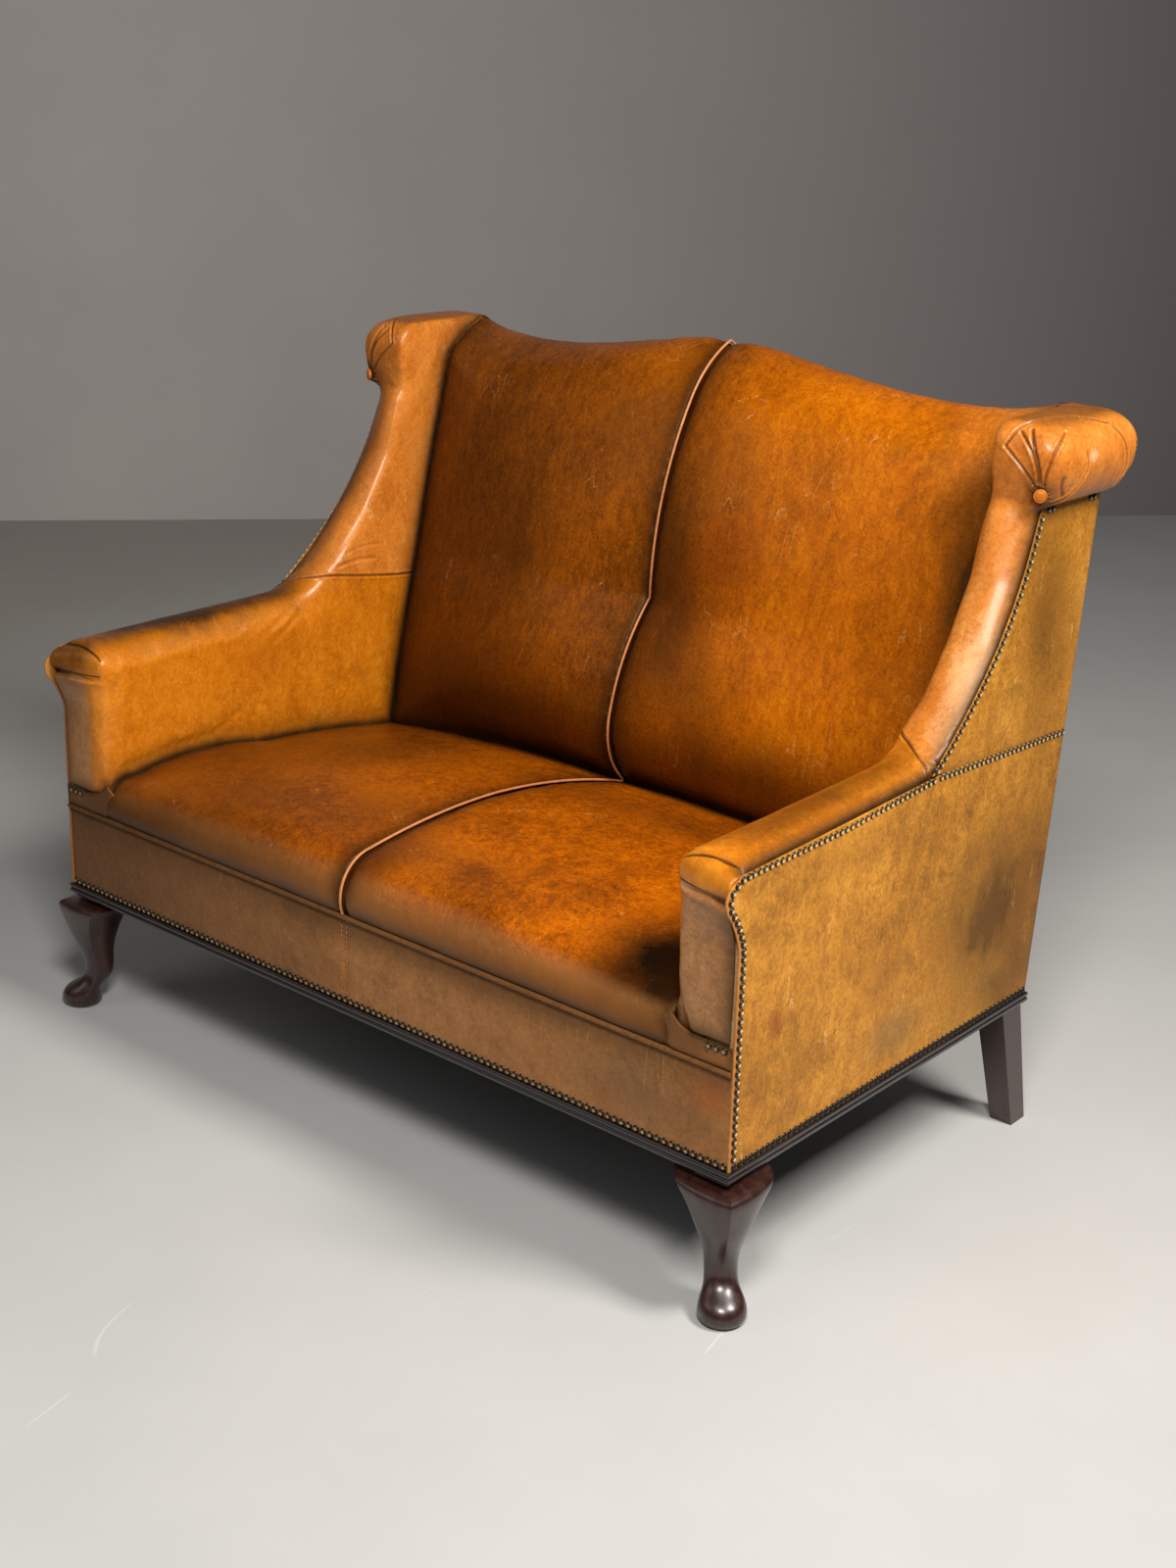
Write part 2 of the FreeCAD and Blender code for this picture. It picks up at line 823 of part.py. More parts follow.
# Padded front panel of an arm and the rolled nose above it
def arm_front_panel():
    inner = half_side - arm_thickness
    y = front_face + leather - seat_clearance
    points = [
        Vector(side_x(front_face, panel_foot) - skin, y, panel_foot),
        Vector(side_x(front_face, panel_top) - skin, y, panel_top),
        Vector(inner, y, panel_top - nail_edge),
        Vector(inner, y, panel_foot + 2 * panel_bend),
        (Vector(inner + panel_tuck * panel_bow_share, y, panel_foot + panel_bend),),
        Vector(inner + panel_tuck, y, panel_foot),
    ]
    return Part.Face(outline(points)).extrude(Vector(0, -panel_pad, 0))


def arm_nose():
    inner = half_side - arm_thickness
    outer = side_x(front_face, panel_top) - skin
    middle = (inner + outer) / 2

    def section(x, rear, foot_drop, top_drop, reach):
        foot = panel_top + seat_clearance - foot_drop
        tall = nose_top - top_drop - foot
        points = [
            Vector(x, rear, foot),
            Vector(x, rear - reach * nose_foot_share, foot),
            (Vector(x, rear - reach, foot + tall * nose_bulge_share),),
            Vector(x, rear - reach * nose_lip_share, foot + tall),
            Vector(x, rear, foot + tall - nail_edge / 2),
        ]
        return outline(points)

    rear = front_face + leather - seat_clearance
    half_drop = nail_edge / 2
    body = ruled([
        section(inner, rear, nail_edge, nail_edge, nose_reach * 2 * nose_lip_share),
        section(middle, rear, half_drop, 0.0, nose_reach),
        section(outer, rear, 0.0, nail_edge, nose_reach),
    ])
    rear = front_face - seat_clearance
    flare = ruled([
        section(middle, rear, half_drop, 0.0, nose_reach - leather),
        section(outer, rear, 0.0, nail_edge, nose_reach - leather),
        section(outer + nose_flare, rear, 0.0, nose_flare, nose_reach / 2),
    ])
    return body.fuse(flare).removeSplitter()


# Covered button on the outer front corner of a scroll
def scroll_button():
    direction = Vector(button_turn_share, -1, 0)
    direction.normalize()
    point = Vector(button_x, button_y, button_height) + direction * button_lift
    return dome(point, direction, button_radius, button_rise)


# A domed cap with a flat back, standing on a point along a direction
def dome(point, direction, radius, rise):
    direction = Vector(direction)
    direction.normalize()
    ball = (radius * radius + rise * rise) / (2 * rise)
    half_turn = math.acos((ball - rise) / ball) / 2
    across = direction.cross(Vector(0, 0, 1))
    across.normalize()
    top = point + direction * rise
    edge = point + across * radius
    centre = top - direction * ball
    middle = centre + direction * ball * math.cos(half_turn) + across * ball * math.sin(half_turn)
    profile = outline([point, edge, (middle,), top])
    return Part.Face(profile).revolve(point, direction, 360)


def nails_along(points, normal, radius=nail_radius, rise=nail_rise):
    lengths = [0.0]
    for a, b in zip(points, points[1:]):
        lengths.append(lengths[-1] + (b - a).Length)
    count = max(int(round(lengths[-1] / nail_pitch)), 1)
    nails = []
    for i in range(count + 1):
        at = lengths[-1] * i / count
        k = 0
        while k < len(points) - 2 and lengths[k + 1] < at:
            k += 1
        share = (at - lengths[k]) / (lengths[k + 1] - lengths[k])
        point = points[k] + (points[k + 1] - points[k]) * share
        nails.append(dome(point + normal * nail_seat, normal, radius, rise))
    return nails


def side_normal(y):
    lean = side_x(y, moulding_top) - side_x(y, scroll_foot_height)
    normal = Vector(scroll_foot_height - moulding_top, 0, lean)
    normal.normalize()
    return normal


def base_nails():
    inset = nail_radius * corner_nail_share
    z = base_nail_height
    front = half_side - inset
    rows = nails_along([Vector(-front, front_face, z), Vector(front, front_face, z)], Vector(0, -1, 0))
    back = Vector(0, 1, -back_rake)
    back.normalize()
    rear = rear_y(z)
    rows += nails_along([Vector(-front, rear, z), Vector(front, rear, z)], back)
    sides = []
    start = front_face + inset
    points = [Vector(side_x(y, z), y, z) for y in (start, wing_foot_y, rear - inset)]
    sides += nails_along(points, side_normal(wing_foot_y))
    return rows + sides + [mirrored(n) for n in sides]


def arm_nails():
    z0 = base_nail_height + nail_pitch
    line = arm_height
    inset = nail_radius * edge_nail_share
    y = front_face + inset
    up = [Vector(side_x(y, z), y, z) for z in (z0, line - nail_pitch)]
    along = [Vector(side_x(q, line), q, line) for q in (y, (y + wing_foot_y) / 2)]
    along.append(Vector(side_x(wing_foot_y, line), wing_foot_y, line + arm_line_rise))
    nails = nails_along(up, side_normal(y)) + nails_along(along, side_normal(y))
    return nails + [mirrored(n) for n in nails]


def wing_nails():
    curve = wing_curve(0.0, 0.0)
    points = []
    for start, middle, end in ((curve[0], curve[1][0], curve[2]), (curve[2], curve[3][0], curve[4])):
        found = Part.Arc(start, middle, end).toShape().discretize(wing_samples)
        points += found if not points else found[1:]
    first = points[0]
    step = nail_pitch * first_pitch_share
    jump = Vector(first.x, first.y + step, first.z + step)
    limit = scroll_foot_height - nail_radius - seat_clearance
    path = [jump] + [p for p in points[1:] if jump.z < p.z < limit]
    nails = nails_along(path, side_normal(wing_foot_y))
    return nails + [mirrored(n) for n in nails]


def middle_nails():
    start_y = wing_foot_y + nail_pitch * middle_pitch_share
    z0 = arm_height + arm_line_rise
    z1 = arm_height - mid_line_drop
    points = [
        Vector(side_x(start_y, z0), start_y, z0),
        Vector(side_x(wing_foot_y, z1), rear_y(z1) - nail_edge, z1),
    ]
    nails = nails_along(points, side_normal(wing_foot_y))
    top = scroll_foot_height - nail_edge
    for y in (wing_foot_y + wing_reach + nail_pitch, rear_y(top) - nail_edge - 2 * nail_pitch):
        ends = [Vector(side_x(q, top), q, top) for q in (y, y + nail_pitch)]
        nails += nails_along(ends, side_normal(wing_foot_y))
    return nails + [mirrored(n) for n in nails]


def panel_nails():
    z = panel_foot - nail_edge
    x = side_x(front_face, z) - leather - nail_pitch
    y = front_face - leather
    points = [Vector(x, y, z), Vector(x - 2 * nail_pitch, y, z)]
    nails = nails_along(points, Vector(0, -1, 0))
    return nails + [mirrored(n) for n in nails]


def back_nails():
    back = Vector(0, 1, -back_rake)
    back.normalize()
    inset = nail_edge + leather
    z0 = base_nail_height + nail_pitch
    z1 = scroll_foot_height - nail_edge
    up = []
    for z in (z0, z1):
        up.append(Vector(side_x(wing_foot_y, z) - inset, rear_y(z), z))
    sides = nails_along(up, back)
    reach = up[1].x - nail_pitch
    top = nails_along([Vector(-reach, rear_y(z1), z1), Vector(reach, rear_y(z1), z1)], back)
    return top + sides + [mirrored(n) for n in sides]


# Back frame between the posts
def back_rail(foot, top):
    levels = []
    for z in (foot, top):
        x = side_x(wing_foot_y, z) - skin - post_width
        levels.append((-x, x, frame_front(z), frame_rear(z), z))
    return bar(levels)


def back_stile():
    half = stile_width / 2
    levels = []
    for z in (back_tack_foot + back_tack_height, top_rail_foot):
        levels.append((seam_offset - half, seam_offset + half, frame_front(z), frame_rear(z), z))
    return bar(levels)


# Webbing strips, canvas sheets and the cloth under the seat
def seat_webbing():
    strips = []
    front = front_face + leather
    z = rail_foot - webbing
    span = 2 * (block_x() - front_block - seat_clearance) - web_width
    for i in range(seat_web_columns):
        x = -span / 2 + span * i / (seat_web_columns - 1) - web_width / 2
        rear = frame_rear(z) - seat_clearance
        strips.append(box(x, x + web_width, front, rear, z, z + webbing))
    inner = front + front_block
    outer = frame_front(z) - seat_clearance
    half = side_x(wing_foot_y, z) - leather - web_gap
    for i in range(seat_web_rows):
        y = inner + (outer - inner - web_width) * (2 * i + 1) / (2 * seat_web_rows)
        strips.append(box(-half, half, y, y + web_width, rail_foot, rail_foot + webbing))
    return strips


def back_webbing():
    strips = []
    z0 = back_tack_foot + nail_edge
    z1 = top_rail_foot + web_lap

    def upright(x0, x1, low, high, layer):
        levels = []
        for z in (low, high):
            y = frame_front(z) - layer * webbing / 2
            levels.append((x0, x1, y - webbing / 2, y, z))
        return bar(levels)

    half = side_x(wing_foot_y, z1) - leather - post_width
    span = 2 * half - 2 * web_width
    for i in range(back_web_columns):
        x = -span / 2 + span * i / (back_web_columns - 1) - web_width / 2
        strips.append(upright(x, x + web_width, z0, z1, 0))
    full = half + web_side_lap
    for i in range(back_web_rows):
        z = z0 + (z1 - z0) * (i + 1) / (back_web_rows + 1)
        strips.append(upright(-full, full, z, z + web_width, 1))
    return strips


def notched_sheet(z, thickness, edge_front, edge_rear, edge_side, notch_front, notch_rear):
    half = edge_side
    points = [
        (-half + notch_front, edge_front), (half - notch_front, edge_front),
        (half - notch_front, edge_front + notch_front), (half, edge_front + notch_front),
        (half, edge_rear - notch_rear), (half - notch_rear, edge_rear - notch_rear),
        (half - notch_rear, edge_rear), (-half + notch_rear, edge_rear),
        (-half + notch_rear, edge_rear - notch_rear), (-half, edge_rear - notch_rear),
        (-half, edge_front + notch_front), (-half + notch_front, edge_front + notch_front),
    ]
    face = Part.Face(polygon([Vector(x, y, z) for x, y in points]))
    return face.extrude(Vector(0, 0, thickness))


def seat_canvas():
    front = front_face + 2 * leather
    rear = frame_front(rail_top) + rail_thickness / 2
    half = side_x(wing_foot_y, rail_top) - 2 * leather
    return notched_sheet(rail_top, canvas, front, rear, half, front_block + leather, post_depth)


def bottom_cloth():
    z = rail_foot - webbing - seat_clearance - cloth
    front = front_face + 2 * leather
    rear = frame_rear(z) - leather
    half = side_x(wing_foot_y, z) - 2 * leather
    return notched_sheet(z, cloth, front, rear, half, front_block + leather, post_depth + leather)


def back_canvas():
    levels = []
    for z in (back_tack_foot + nail_edge, top_rail_foot + canvas_lap):
        y = frame_front(z) - webbing - seat_clearance / 2
        half = side_x(wing_foot_y, z) - leather - post_width - canvas_side_lap
        levels.append((-half, half, y - canvas, y, z))
    return bar(levels)


# Waisted coil springs between webbing and canvas
def springs():
    foot = rail_foot + webbing + spring_wire + seat_clearance
    height = rail_top - spring_wire - seat_clearance - foot
    helix = Part.makeHelix(height / spring_turns, height, spring_radius)
    corners = [(-spring_wire, 0), (0, spring_wire), (spring_wire, 0), (0, -spring_wire)]
    section = polygon([Vector(spring_radius + a, 0, b) for a, b in corners])
    coil = Part.Wire(helix.Edges).makePipeShell([section], True, True)
    span_x = 2 * (half_side - 2 * spring_margin)
    first_y = front_face + leather + rail_thickness + spring_margin
    span_y = frame_front(rail_top) - spring_margin - first_y
    found = []
    for i in range(spring_columns):
        for j in range(spring_rows):
            x = span_x * i / (spring_columns - 1) - span_x / 2
            y = first_y + span_y * j / (spring_rows - 1)
            copy = coil.copy()
            copy.translate(Vector(x, y, foot))
            found.append(copy)
    return found


def pair(name, shape):
    return {name + "_right": [shape], name + "_left": [mirrored(shape)]}


def settee():
    leg = front_leg()
    post = rear_post()
    front_rail, rear_rail, side_rail = rails()
    nodes = {"base_moulding": base_moulding()}
    nodes.update(pair("front_leg", leg))
    nodes.update(pair("rear_post", post))
    nodes["front_seat_rail"] = [front_rail]
    nodes["rear_seat_rail"] = [rear_rail]
    nodes.update(pair("side_seat_rail", side_rail))
    nodes["seat_brace"] = [seat_brace()]
    nodes["corner_blocks"] = corner_blocks(leg, post)
    nodes.update(pair("arm_post", arm_post()))
    nodes.update(pair("arm_rail", arm_rail()))
    tack = arm_tack_rail()
    nodes["arm_tack_rails"] = [tack, mirrored(tack)]
    nodes.update(pair("wing_frame", wing_frame()))
    nodes["back_top_rail"] = [back_rail(top_rail_foot, crest_height - crest_drop - top_rail_drop)]
    nodes["back_tack_rail"] = [back_rail(back_tack_foot, back_tack_foot + back_tack_height)]
    nodes["back_stile"] = [back_stile()]
    nodes.update(pair("outside_arm", lower_panel()))
    nodes.update(pair("outside_wing", upper_panel()))
    nodes["outside_back"] = [outside_back()]
    nodes.update(pair("inside_arm", inside_arm()))
    nodes.update(pair("inside_wing", inside_wing()))
    nodes.update(pair("scroll", scroll()))
    nodes.update(pair("arm_front_panel", arm_front_panel()))
    nodes.update(pair("arm_nose", arm_nose()))
    button = scroll_button()
    nodes["scroll_buttons"] = [button, mirrored(button)]
    nodes["seat_cover_right"] = [seat_cover(1)]
    nodes["seat_cover_left"] = [seat_cover(-1)]
    nodes["seat_stuffing"] = seat_stuffing()
    nodes["back_cover_right"] = [back_cover(1)]
    nodes["back_cover_left"] = [back_cover(-1)]
    nodes["back_stuffing"] = back_stuffing()
    nodes["seat_piping"] = [seat_piping()]
    nodes["back_piping"] = [back_piping()]
    nodes["front_border"] = front_border()
    nodes["front_welt"] = [front_welt()]
    nodes["seat_webbing"] = seat_webbing()
    nodes["back_webbing"] = back_webbing()
    nodes["seat_canvas"] = [seat_canvas()]
    nodes["back_canvas"] = [back_canvas()]
    nodes["bottom_cloth"] = [bottom_cloth()]
    nodes["seat_springs"] = springs()
    nodes["base_nails"] = base_nails()
    nodes["arm_nails"] = arm_nails()
    nodes["wing_nails"] = wing_nails()
    nodes["middle_nails"] = middle_nails()
    nodes["panel_nails"] = panel_nails()
    nodes["back_nails"] = back_nails()
    return nodes


# Every piece is centred over the floor and written on its own
nodes = settee()
outermost = nodes["front_leg_right"] + nodes["front_leg_left"]
outermost += nodes["back_cover_right"] + nodes["scroll_right"]
extent = Part.makeCompound(outermost).optimalBoundingBox(False, False)
shift = Vector(0, -(extent.YMin + extent.YMax) / 2, 0)
os.makedirs("parts", exist_ok=True)
for name, shapes in nodes.items():
    for shape in shapes:
        shape.translate(shift)
    joined = shapes[0] if len(shapes) == 1 else Part.makeCompound(shapes)
    joined.exportStep("parts/" + name + ".step")
print("pieces", len(nodes), "solids", sum(len(shapes) for shapes in nodes.values()))
print("size", round(extent.XLength, 1), round(extent.YLength, 1), round(extent.ZMax, 1))
print("shift", round(shift.y, 2))
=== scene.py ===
from contextlib import contextmanager
import math

import bmesh
import bpy
import numpy as np
from mathutils import Matrix, Vector, noise
from mathutils.bvhtree import BVHTree


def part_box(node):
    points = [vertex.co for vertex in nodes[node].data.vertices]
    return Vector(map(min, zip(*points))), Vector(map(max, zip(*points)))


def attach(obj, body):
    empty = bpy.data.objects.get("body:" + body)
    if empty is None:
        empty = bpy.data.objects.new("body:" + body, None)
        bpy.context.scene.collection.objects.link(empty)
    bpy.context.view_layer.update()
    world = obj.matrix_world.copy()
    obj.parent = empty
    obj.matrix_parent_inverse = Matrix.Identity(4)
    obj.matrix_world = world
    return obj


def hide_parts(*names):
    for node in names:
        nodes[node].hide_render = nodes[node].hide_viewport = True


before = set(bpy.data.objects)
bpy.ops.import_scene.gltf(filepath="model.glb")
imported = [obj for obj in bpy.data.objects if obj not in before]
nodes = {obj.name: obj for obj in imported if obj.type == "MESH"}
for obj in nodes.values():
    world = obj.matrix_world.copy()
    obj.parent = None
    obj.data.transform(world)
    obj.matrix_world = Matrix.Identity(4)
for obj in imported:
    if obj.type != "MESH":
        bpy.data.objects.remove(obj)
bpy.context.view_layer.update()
scene = bpy.context.scene
print("frame loaded")

# The settee in metres: X across, +Y to its back, +Z up, with the sizes of the CAD
body = {
    "seam": -0.025, "frontFace": -0.42119, "sideHalf": 0.657, "mouldingTop": 0.211,
    "scrollFoot": 0.935, "wingFoot": 0.00481, "frontLean": 0.005, "rearLean": 0.025,
    "rearFace": 0.29381, "backRake": 0.155, "skin": 0.0028,
}


def sideX(y, z):  # outer face of the side leather
    reach = min(max((y - body["frontFace"]) / (body["wingFoot"] - body["frontFace"]), 0.0), 1.0)
    lean = body["frontLean"] + (body["rearLean"] - body["frontLean"]) * reach
    return body["sideHalf"] - lean * (z - body["mouldingTop"]) / (body["scrollFoot"] - body["mouldingTop"])


def rearY(z):  # outer face of the back leather
    return body["rearFace"] + body["backRake"] * (z - body["mouldingTop"])


# Materials

class Flow:  # one socket of a graph, so that shader maths reads as an expression
    def __init__(self, graph, socket):
        self.graph, self.socket = graph, socket

    def join(self, operation, first, second=None, clamp=False):
        values = {0: first} if second is None else {0: first, 1: second}
        return self.graph.node("ShaderNodeMath", {"operation": operation, "use_clamp": clamp}, values)

    def __add__(self, other): return self.join("ADD", self, other)
    def __radd__(self, other): return self.join("ADD", other, self)
    def __sub__(self, other): return self.join("SUBTRACT", self, other)
    def __rsub__(self, other): return self.join("SUBTRACT", other, self)
    def __mul__(self, other): return self.join("MULTIPLY", self, other)
    def __abs__(self): return self.join("ABSOLUTE", self)
    def clamped(self): return self.join("ADD", self, 0.0, True)
    def above(self, start, width): return self.join("MULTIPLY", self - start, 1.0 / width, True)
    def below(self, start, width): return self.join("MULTIPLY", start - self, 1.0 / width, True)


class Graph:  # a new material and its nodes
    def __init__(self, name):
        self.material = bpy.data.materials.new(name)
        self.material.use_nodes = True
        self.tree = self.material.node_tree
        self.tree.nodes.clear()

    def node(self, kind, settings=None, inputs=None, output=0):
        made = self.tree.nodes.new(kind)
        for key, value in (settings or {}).items():
            if key == "stops":
                while len(made.color_ramp.elements) < len(value):
                    made.color_ramp.elements.new(0.5)
                for element, (place, colour) in zip(made.color_ramp.elements, value):
                    element.position, element.color = place, colour
            else:
                setattr(made, key, value)
        for key, value in (inputs or {}).items():
            if isinstance(value, Flow):
                self.tree.links.new(value.socket, made.inputs[key])
            else:
                made.inputs[key].default_value = value
        return Flow(self, made.outputs[output])

    def place(self, scale=(1, 1, 1), turn=(0, 0, 0), shift=(0, 0, 0)):
        values = {"Vector": self.node("ShaderNodeTexCoord", output="Object"), "Scale": scale, "Rotation": turn}
        return self.node("ShaderNodeMapping", {}, {**values, "Location": shift})

    def around(self, centre, size):  # 0 in the middle of an egg shape, 1 on its edge
        shift = tuple(-c / s for c, s in zip(centre, size))
        point = self.place(tuple(1 / s for s in size), (0, 0, 0), shift)
        return self.node("ShaderNodeVectorMath", {"operation": "LENGTH"}, {0: point}, "Value")

    def noise(self, place, scale, detail=4.0, rough=0.55, distort=0.0):
        values = {"Vector": place, "Scale": scale, "Detail": detail, "Roughness": rough, "Distortion": distort}
        return self.node("ShaderNodeTexNoise", {}, values)

    def lines(self, place, scale, detail, rough, distort, start, width):  # thin lines where the noise is halfway
        return abs(self.noise(place, scale, detail, rough, distort) - 0.5).below(start, width)

    def cells(self, place, scale):
        return self.node("ShaderNodeTexVoronoi", {}, {"Vector": place, "Scale": scale})

    def ramp(self, value, stops):
        return self.node("ShaderNodeValToRGB", {"stops": stops}, {0: value})

    def mix(self, share, first, second):
        return self.node("ShaderNodeMix", {"data_type": "RGBA"}, {0: share, 6: first, 7: second}, 2)

    def kept(self, name):  # a value painted on the mesh
        return self.node("ShaderNodeAttribute", {"attribute_name": name}, {}, "Fac")

    def part(self, vector, axis):
        return self.node("ShaderNodeSeparateXYZ", {}, {0: vector}, axis)

    def bump(self, height, reach, strength=1.0, under=None):
        values = {"Height": height, "Distance": reach, "Strength": strength}
        if under is not None:
            values["Normal"] = under
        return self.node("ShaderNodeBump", {}, values)

    def surface(self, values):
        shader = self.node("ShaderNodeBsdfPrincipled", {}, values)
        out = self.tree.nodes.new("ShaderNodeOutputMaterial")
        self.tree.links.new(shader.socket, out.inputs["Surface"])
        return self.material


def tint(red, green, blue):  # a colour as seen on screen, 0 to 255
    parts = [c / 255 for c in (red, green, blue)]
    return (*[c / 12.92 if c <= 0.04045 else ((c + 0.055) / 1.055) ** 2.4 for c in parts], 1.0)


sizes = {"fine": 210, "specks": 95, "veins": 26, "scratches": 42, "grain": 620, "wrinkles": 34, "creases": 17}


def leather(name, look):
    g = Graph(name)
    place = g.place()
    rubbed = g.place(look["streak"], look["turn"])
    clouds = g.noise(place, look["cloud"], 3, 0.5, 0.4)
    blotches = g.noise(rubbed, look["blotch"], 6, 0.62, 0.3)
    mottle = g.noise(rubbed, look["mottle"], 5, 0.7, 0.5)
    fine = g.noise(place, sizes["fine"], 4, 0.75)
    tone = clouds * 0.22 + blotches * 0.22 + mottle * 0.28 + fine * 0.28
    tone = (tone - 0.5) * look["contrast"] + look["level"]
    if "paintedLightDrift" in look:  # painted light: lighter along one axis, towards the light
        axis, start, width, amount = look["paintedLightDrift"]
        tone = tone + (g.part(place, axis).above(start, width) - 0.5) * amount
    colour = g.ramp(tone, look["stops"])
    for key, stops in look.get("blends", {}).items():  # other dyes, where the mesh is painted so
        colour = g.mix(g.kept(key), colour, g.ramp(tone, stops))
    unpatched = 1.0
    for row in look.get("stainsAndPaintedLight", ()):  # centre, size, share and colour of a stain, a painted shadow or a painted highlight
        share = (1.15 - g.around(row[:3], row[3:6]) + (blotches - 0.5) * 1.6 + (mottle - 0.5) * 0.8).clamped() * row[6]
        colour = g.mix(share, colour, tint(*row[7:]))
        unpatched = unpatched - share * 0.8
    smudges = g.noise(rubbed, look["smudge"], 7, 0.7, 0.8).above(0.56, 0.12) * mottle.above(0.35, 0.3)
    specks = g.cells(place, sizes["specks"]).below(0.12, 0.1) * g.noise(place, 30, 2).above(0.56, 0.05)
    veins = g.lines(place, sizes["veins"], 6, 0.75, 0.6, 0.03, 0.03) * g.noise(place, 6, 3).above(0.48, 0.12)
    scratches = g.lines(g.place((1.0, 1.0, 0.05), (0.5, 0.9, 0.3)), sizes["scratches"], 1, 0.4, 0.0, 0.016, 0.012)
    scratches = scratches * g.noise(place, 14, 2).above(0.6, 0.05) * fine.above(0.4, 0.2)
    wear = (g.kept("wear") * (0.6 + mottle * 0.8)).clamped()
    shade = (g.kept("shade") * (0.5 + blotches)).clamped()
    for share, stain in ((smudges * look["smudgeShare"], "dark"), (specks * 0.55, "dark"), (veins * 0.3, "dark"),
                         (scratches * look["scuff"] * unpatched, "pale"), (wear * look["wearShare"], "worn"),
                         (shade * look["shadeShare"], "dark")):
        colour = g.mix(share, colour, look[stain])
    for axis, start, width, amount in look.get("paintedFalloffs", ()):  # painted light falloff: darker along one axis, away from the light
        paintedFalloff = (g.part(place, axis).above(start, width) * (0.6 + blotches * 0.8)).clamped()
        colour = g.mix(paintedFalloff * amount, colour, look["dark"])
    # grime and painted shade close to the neighbouring leather and along the pressed seams
    grime = (g.kept("grime") * (0.55 + blotches * 0.9)).clamped()
    colour = g.mix(grime * look["grimeAndShadeShare"], colour, look["black"])
    rough = look["rough"] + (mottle - 0.5) * 0.25 + grime * 0.25 - wear * 0.06
    coat = ((1 - shade * 0.8) * unpatched * look["coat"]).clamped()
    grain = g.cells(place, sizes["grain"]).below(0.55, 0.5)
    wrinkles = g.noise(place, sizes["wrinkles"], 5, 0.6, 1.4)
    creases = g.lines(g.place((1, 1, 1), (0.4, 0.2, 0.9)), sizes["creases"], 3, 0.5, 1.2, 0.02, 0.02)
    normal = g.bump(grain, 0.00012, 0.5)
    normal = g.bump(wrinkles, 0.0016, 0.7, normal)
    normal = g.bump(1 - creases * g.noise(place, 7, 2).above(0.5, 0.1), 0.0006, 0.6, normal)
    return g.surface({
        "Base Color": colour, "Roughness": rough.clamped(), "Normal": normal, "Coat Weight": coat,
        "Coat Roughness": 0.26, "Specular IOR Level": 0.45, "Specular Tint": look["sheen"],
    })


def leatherStops(*rows):
    return [(place, tint(*colour)) for place, colour in rows]


wingDye = leatherStops((0.1, (116, 60, 12)), (0.36, (174, 94, 24)), (0.6, (204, 120, 40)), (0.88, (224, 150, 70)))
frontDye = leatherStops((0.1, (94, 58, 28)), (0.4, (142, 92, 48)), (0.62, (172, 116, 66)), (0.88, (200, 146, 96)))
tanLook = {
    "cloud": 3.2, "blotch": 13, "mottle": 70, "smudge": 8, "streak": (1, 1, 0.7), "turn": (0.2, 0.1, 0.3),
    "contrast": 2.75, "level": 0.5, "scuff": 0.4, "smudgeShare": 0.6, "wearShare": 0.5, "grimeAndShadeShare": 0.9,
    "shadeShare": 0.7, "rough": 0.4, "coat": 0.1, "sheen": tint(255, 214, 160),
    "stops": leatherStops((0.1, (112, 54, 4)), (0.36, (170, 90, 8)), (0.6, (202, 116, 14)), (0.88, (222, 144, 40))),
    "dark": tint(44, 18, 2), "black": tint(14, 6, 2), "pale": tint(236, 182, 112), "worn": tint(222, 150, 84),
}
backLook = {
    # painted light: the back gets lighter towards the right
    **tanLook, "streak": (1.4, 1, 0.5), "turn": (0, 0.25, 0), "paintedLightDrift": ("X", -0.4, 0.75, 0.36), "level": 0.45,
    "shadeShare": 0.9,
    # painted light falloff: the back is darker to the left and towards the bottom
    "paintedFalloffs": (("X", 0.12, -0.5, 0.42), ("Z", 0.56, -0.12, 0.34)), "blends": {"wing": wingDye},
    "sheen": tint(255, 190, 110),
    "stops": leatherStops((0.06, (84, 38, 0)), (0.34, (138, 68, 0)), (0.6, (180, 92, 0)), (0.88, (210, 120, 6))),
    "stainsAndPaintedLight": (
        # both patches here: painted shade in the hollow right of the middle seam
        (0.03, 0.25, 0.76, 0.05, 0.2, 0.16, 0.6, 58, 30, 10), (0.06, 0.2, 0.64, 0.075, 0.2, 0.12, 0.72, 66, 28, 4),
        # second patch: painted shade low on the back, just above the seat
        (0.125, 0.24, 0.77, 0.075, 0.2, 0.09, 0.5, 116, 42, 6), (0.22, 0.13, 0.47, 0.3, 0.14, 0.07, 0.62, 44, 18, 2),
        # second patch: painted shade low on the back, just above the seat
        (0.13, 0.17, 0.56, 0.1, 0.2, 0.07, 0.45, 84, 38, 6), (-0.28, 0.14, 0.47, 0.32, 0.16, 0.1, 0.55, 28, 10, 2),
        (-0.12, 0.3, 0.95, 0.1, 0.2, 0.08, 0.35, 70, 34, 6), (-0.3, 0.22, 0.72, 0.09, 0.2, 0.1, 0.3, 66, 32, 6),
        # second patch: the right wing's painted shadow on the back
        (0.1, 0.3, 0.9, 0.06, 0.2, 0.07, 0.3, 84, 46, 10), (0.525, 0.25, 0.77, 0.06, 0.24, 0.32, 0.95, 30, 12, 2),
        (0.3, 0.42, 1.05, 0.3, 0.08, 0.022, 0.5, 96, 34, 10), (-0.3, 0.42, 1.05, 0.26, 0.08, 0.02, 0.45, 74, 32, 8),
    ),
}
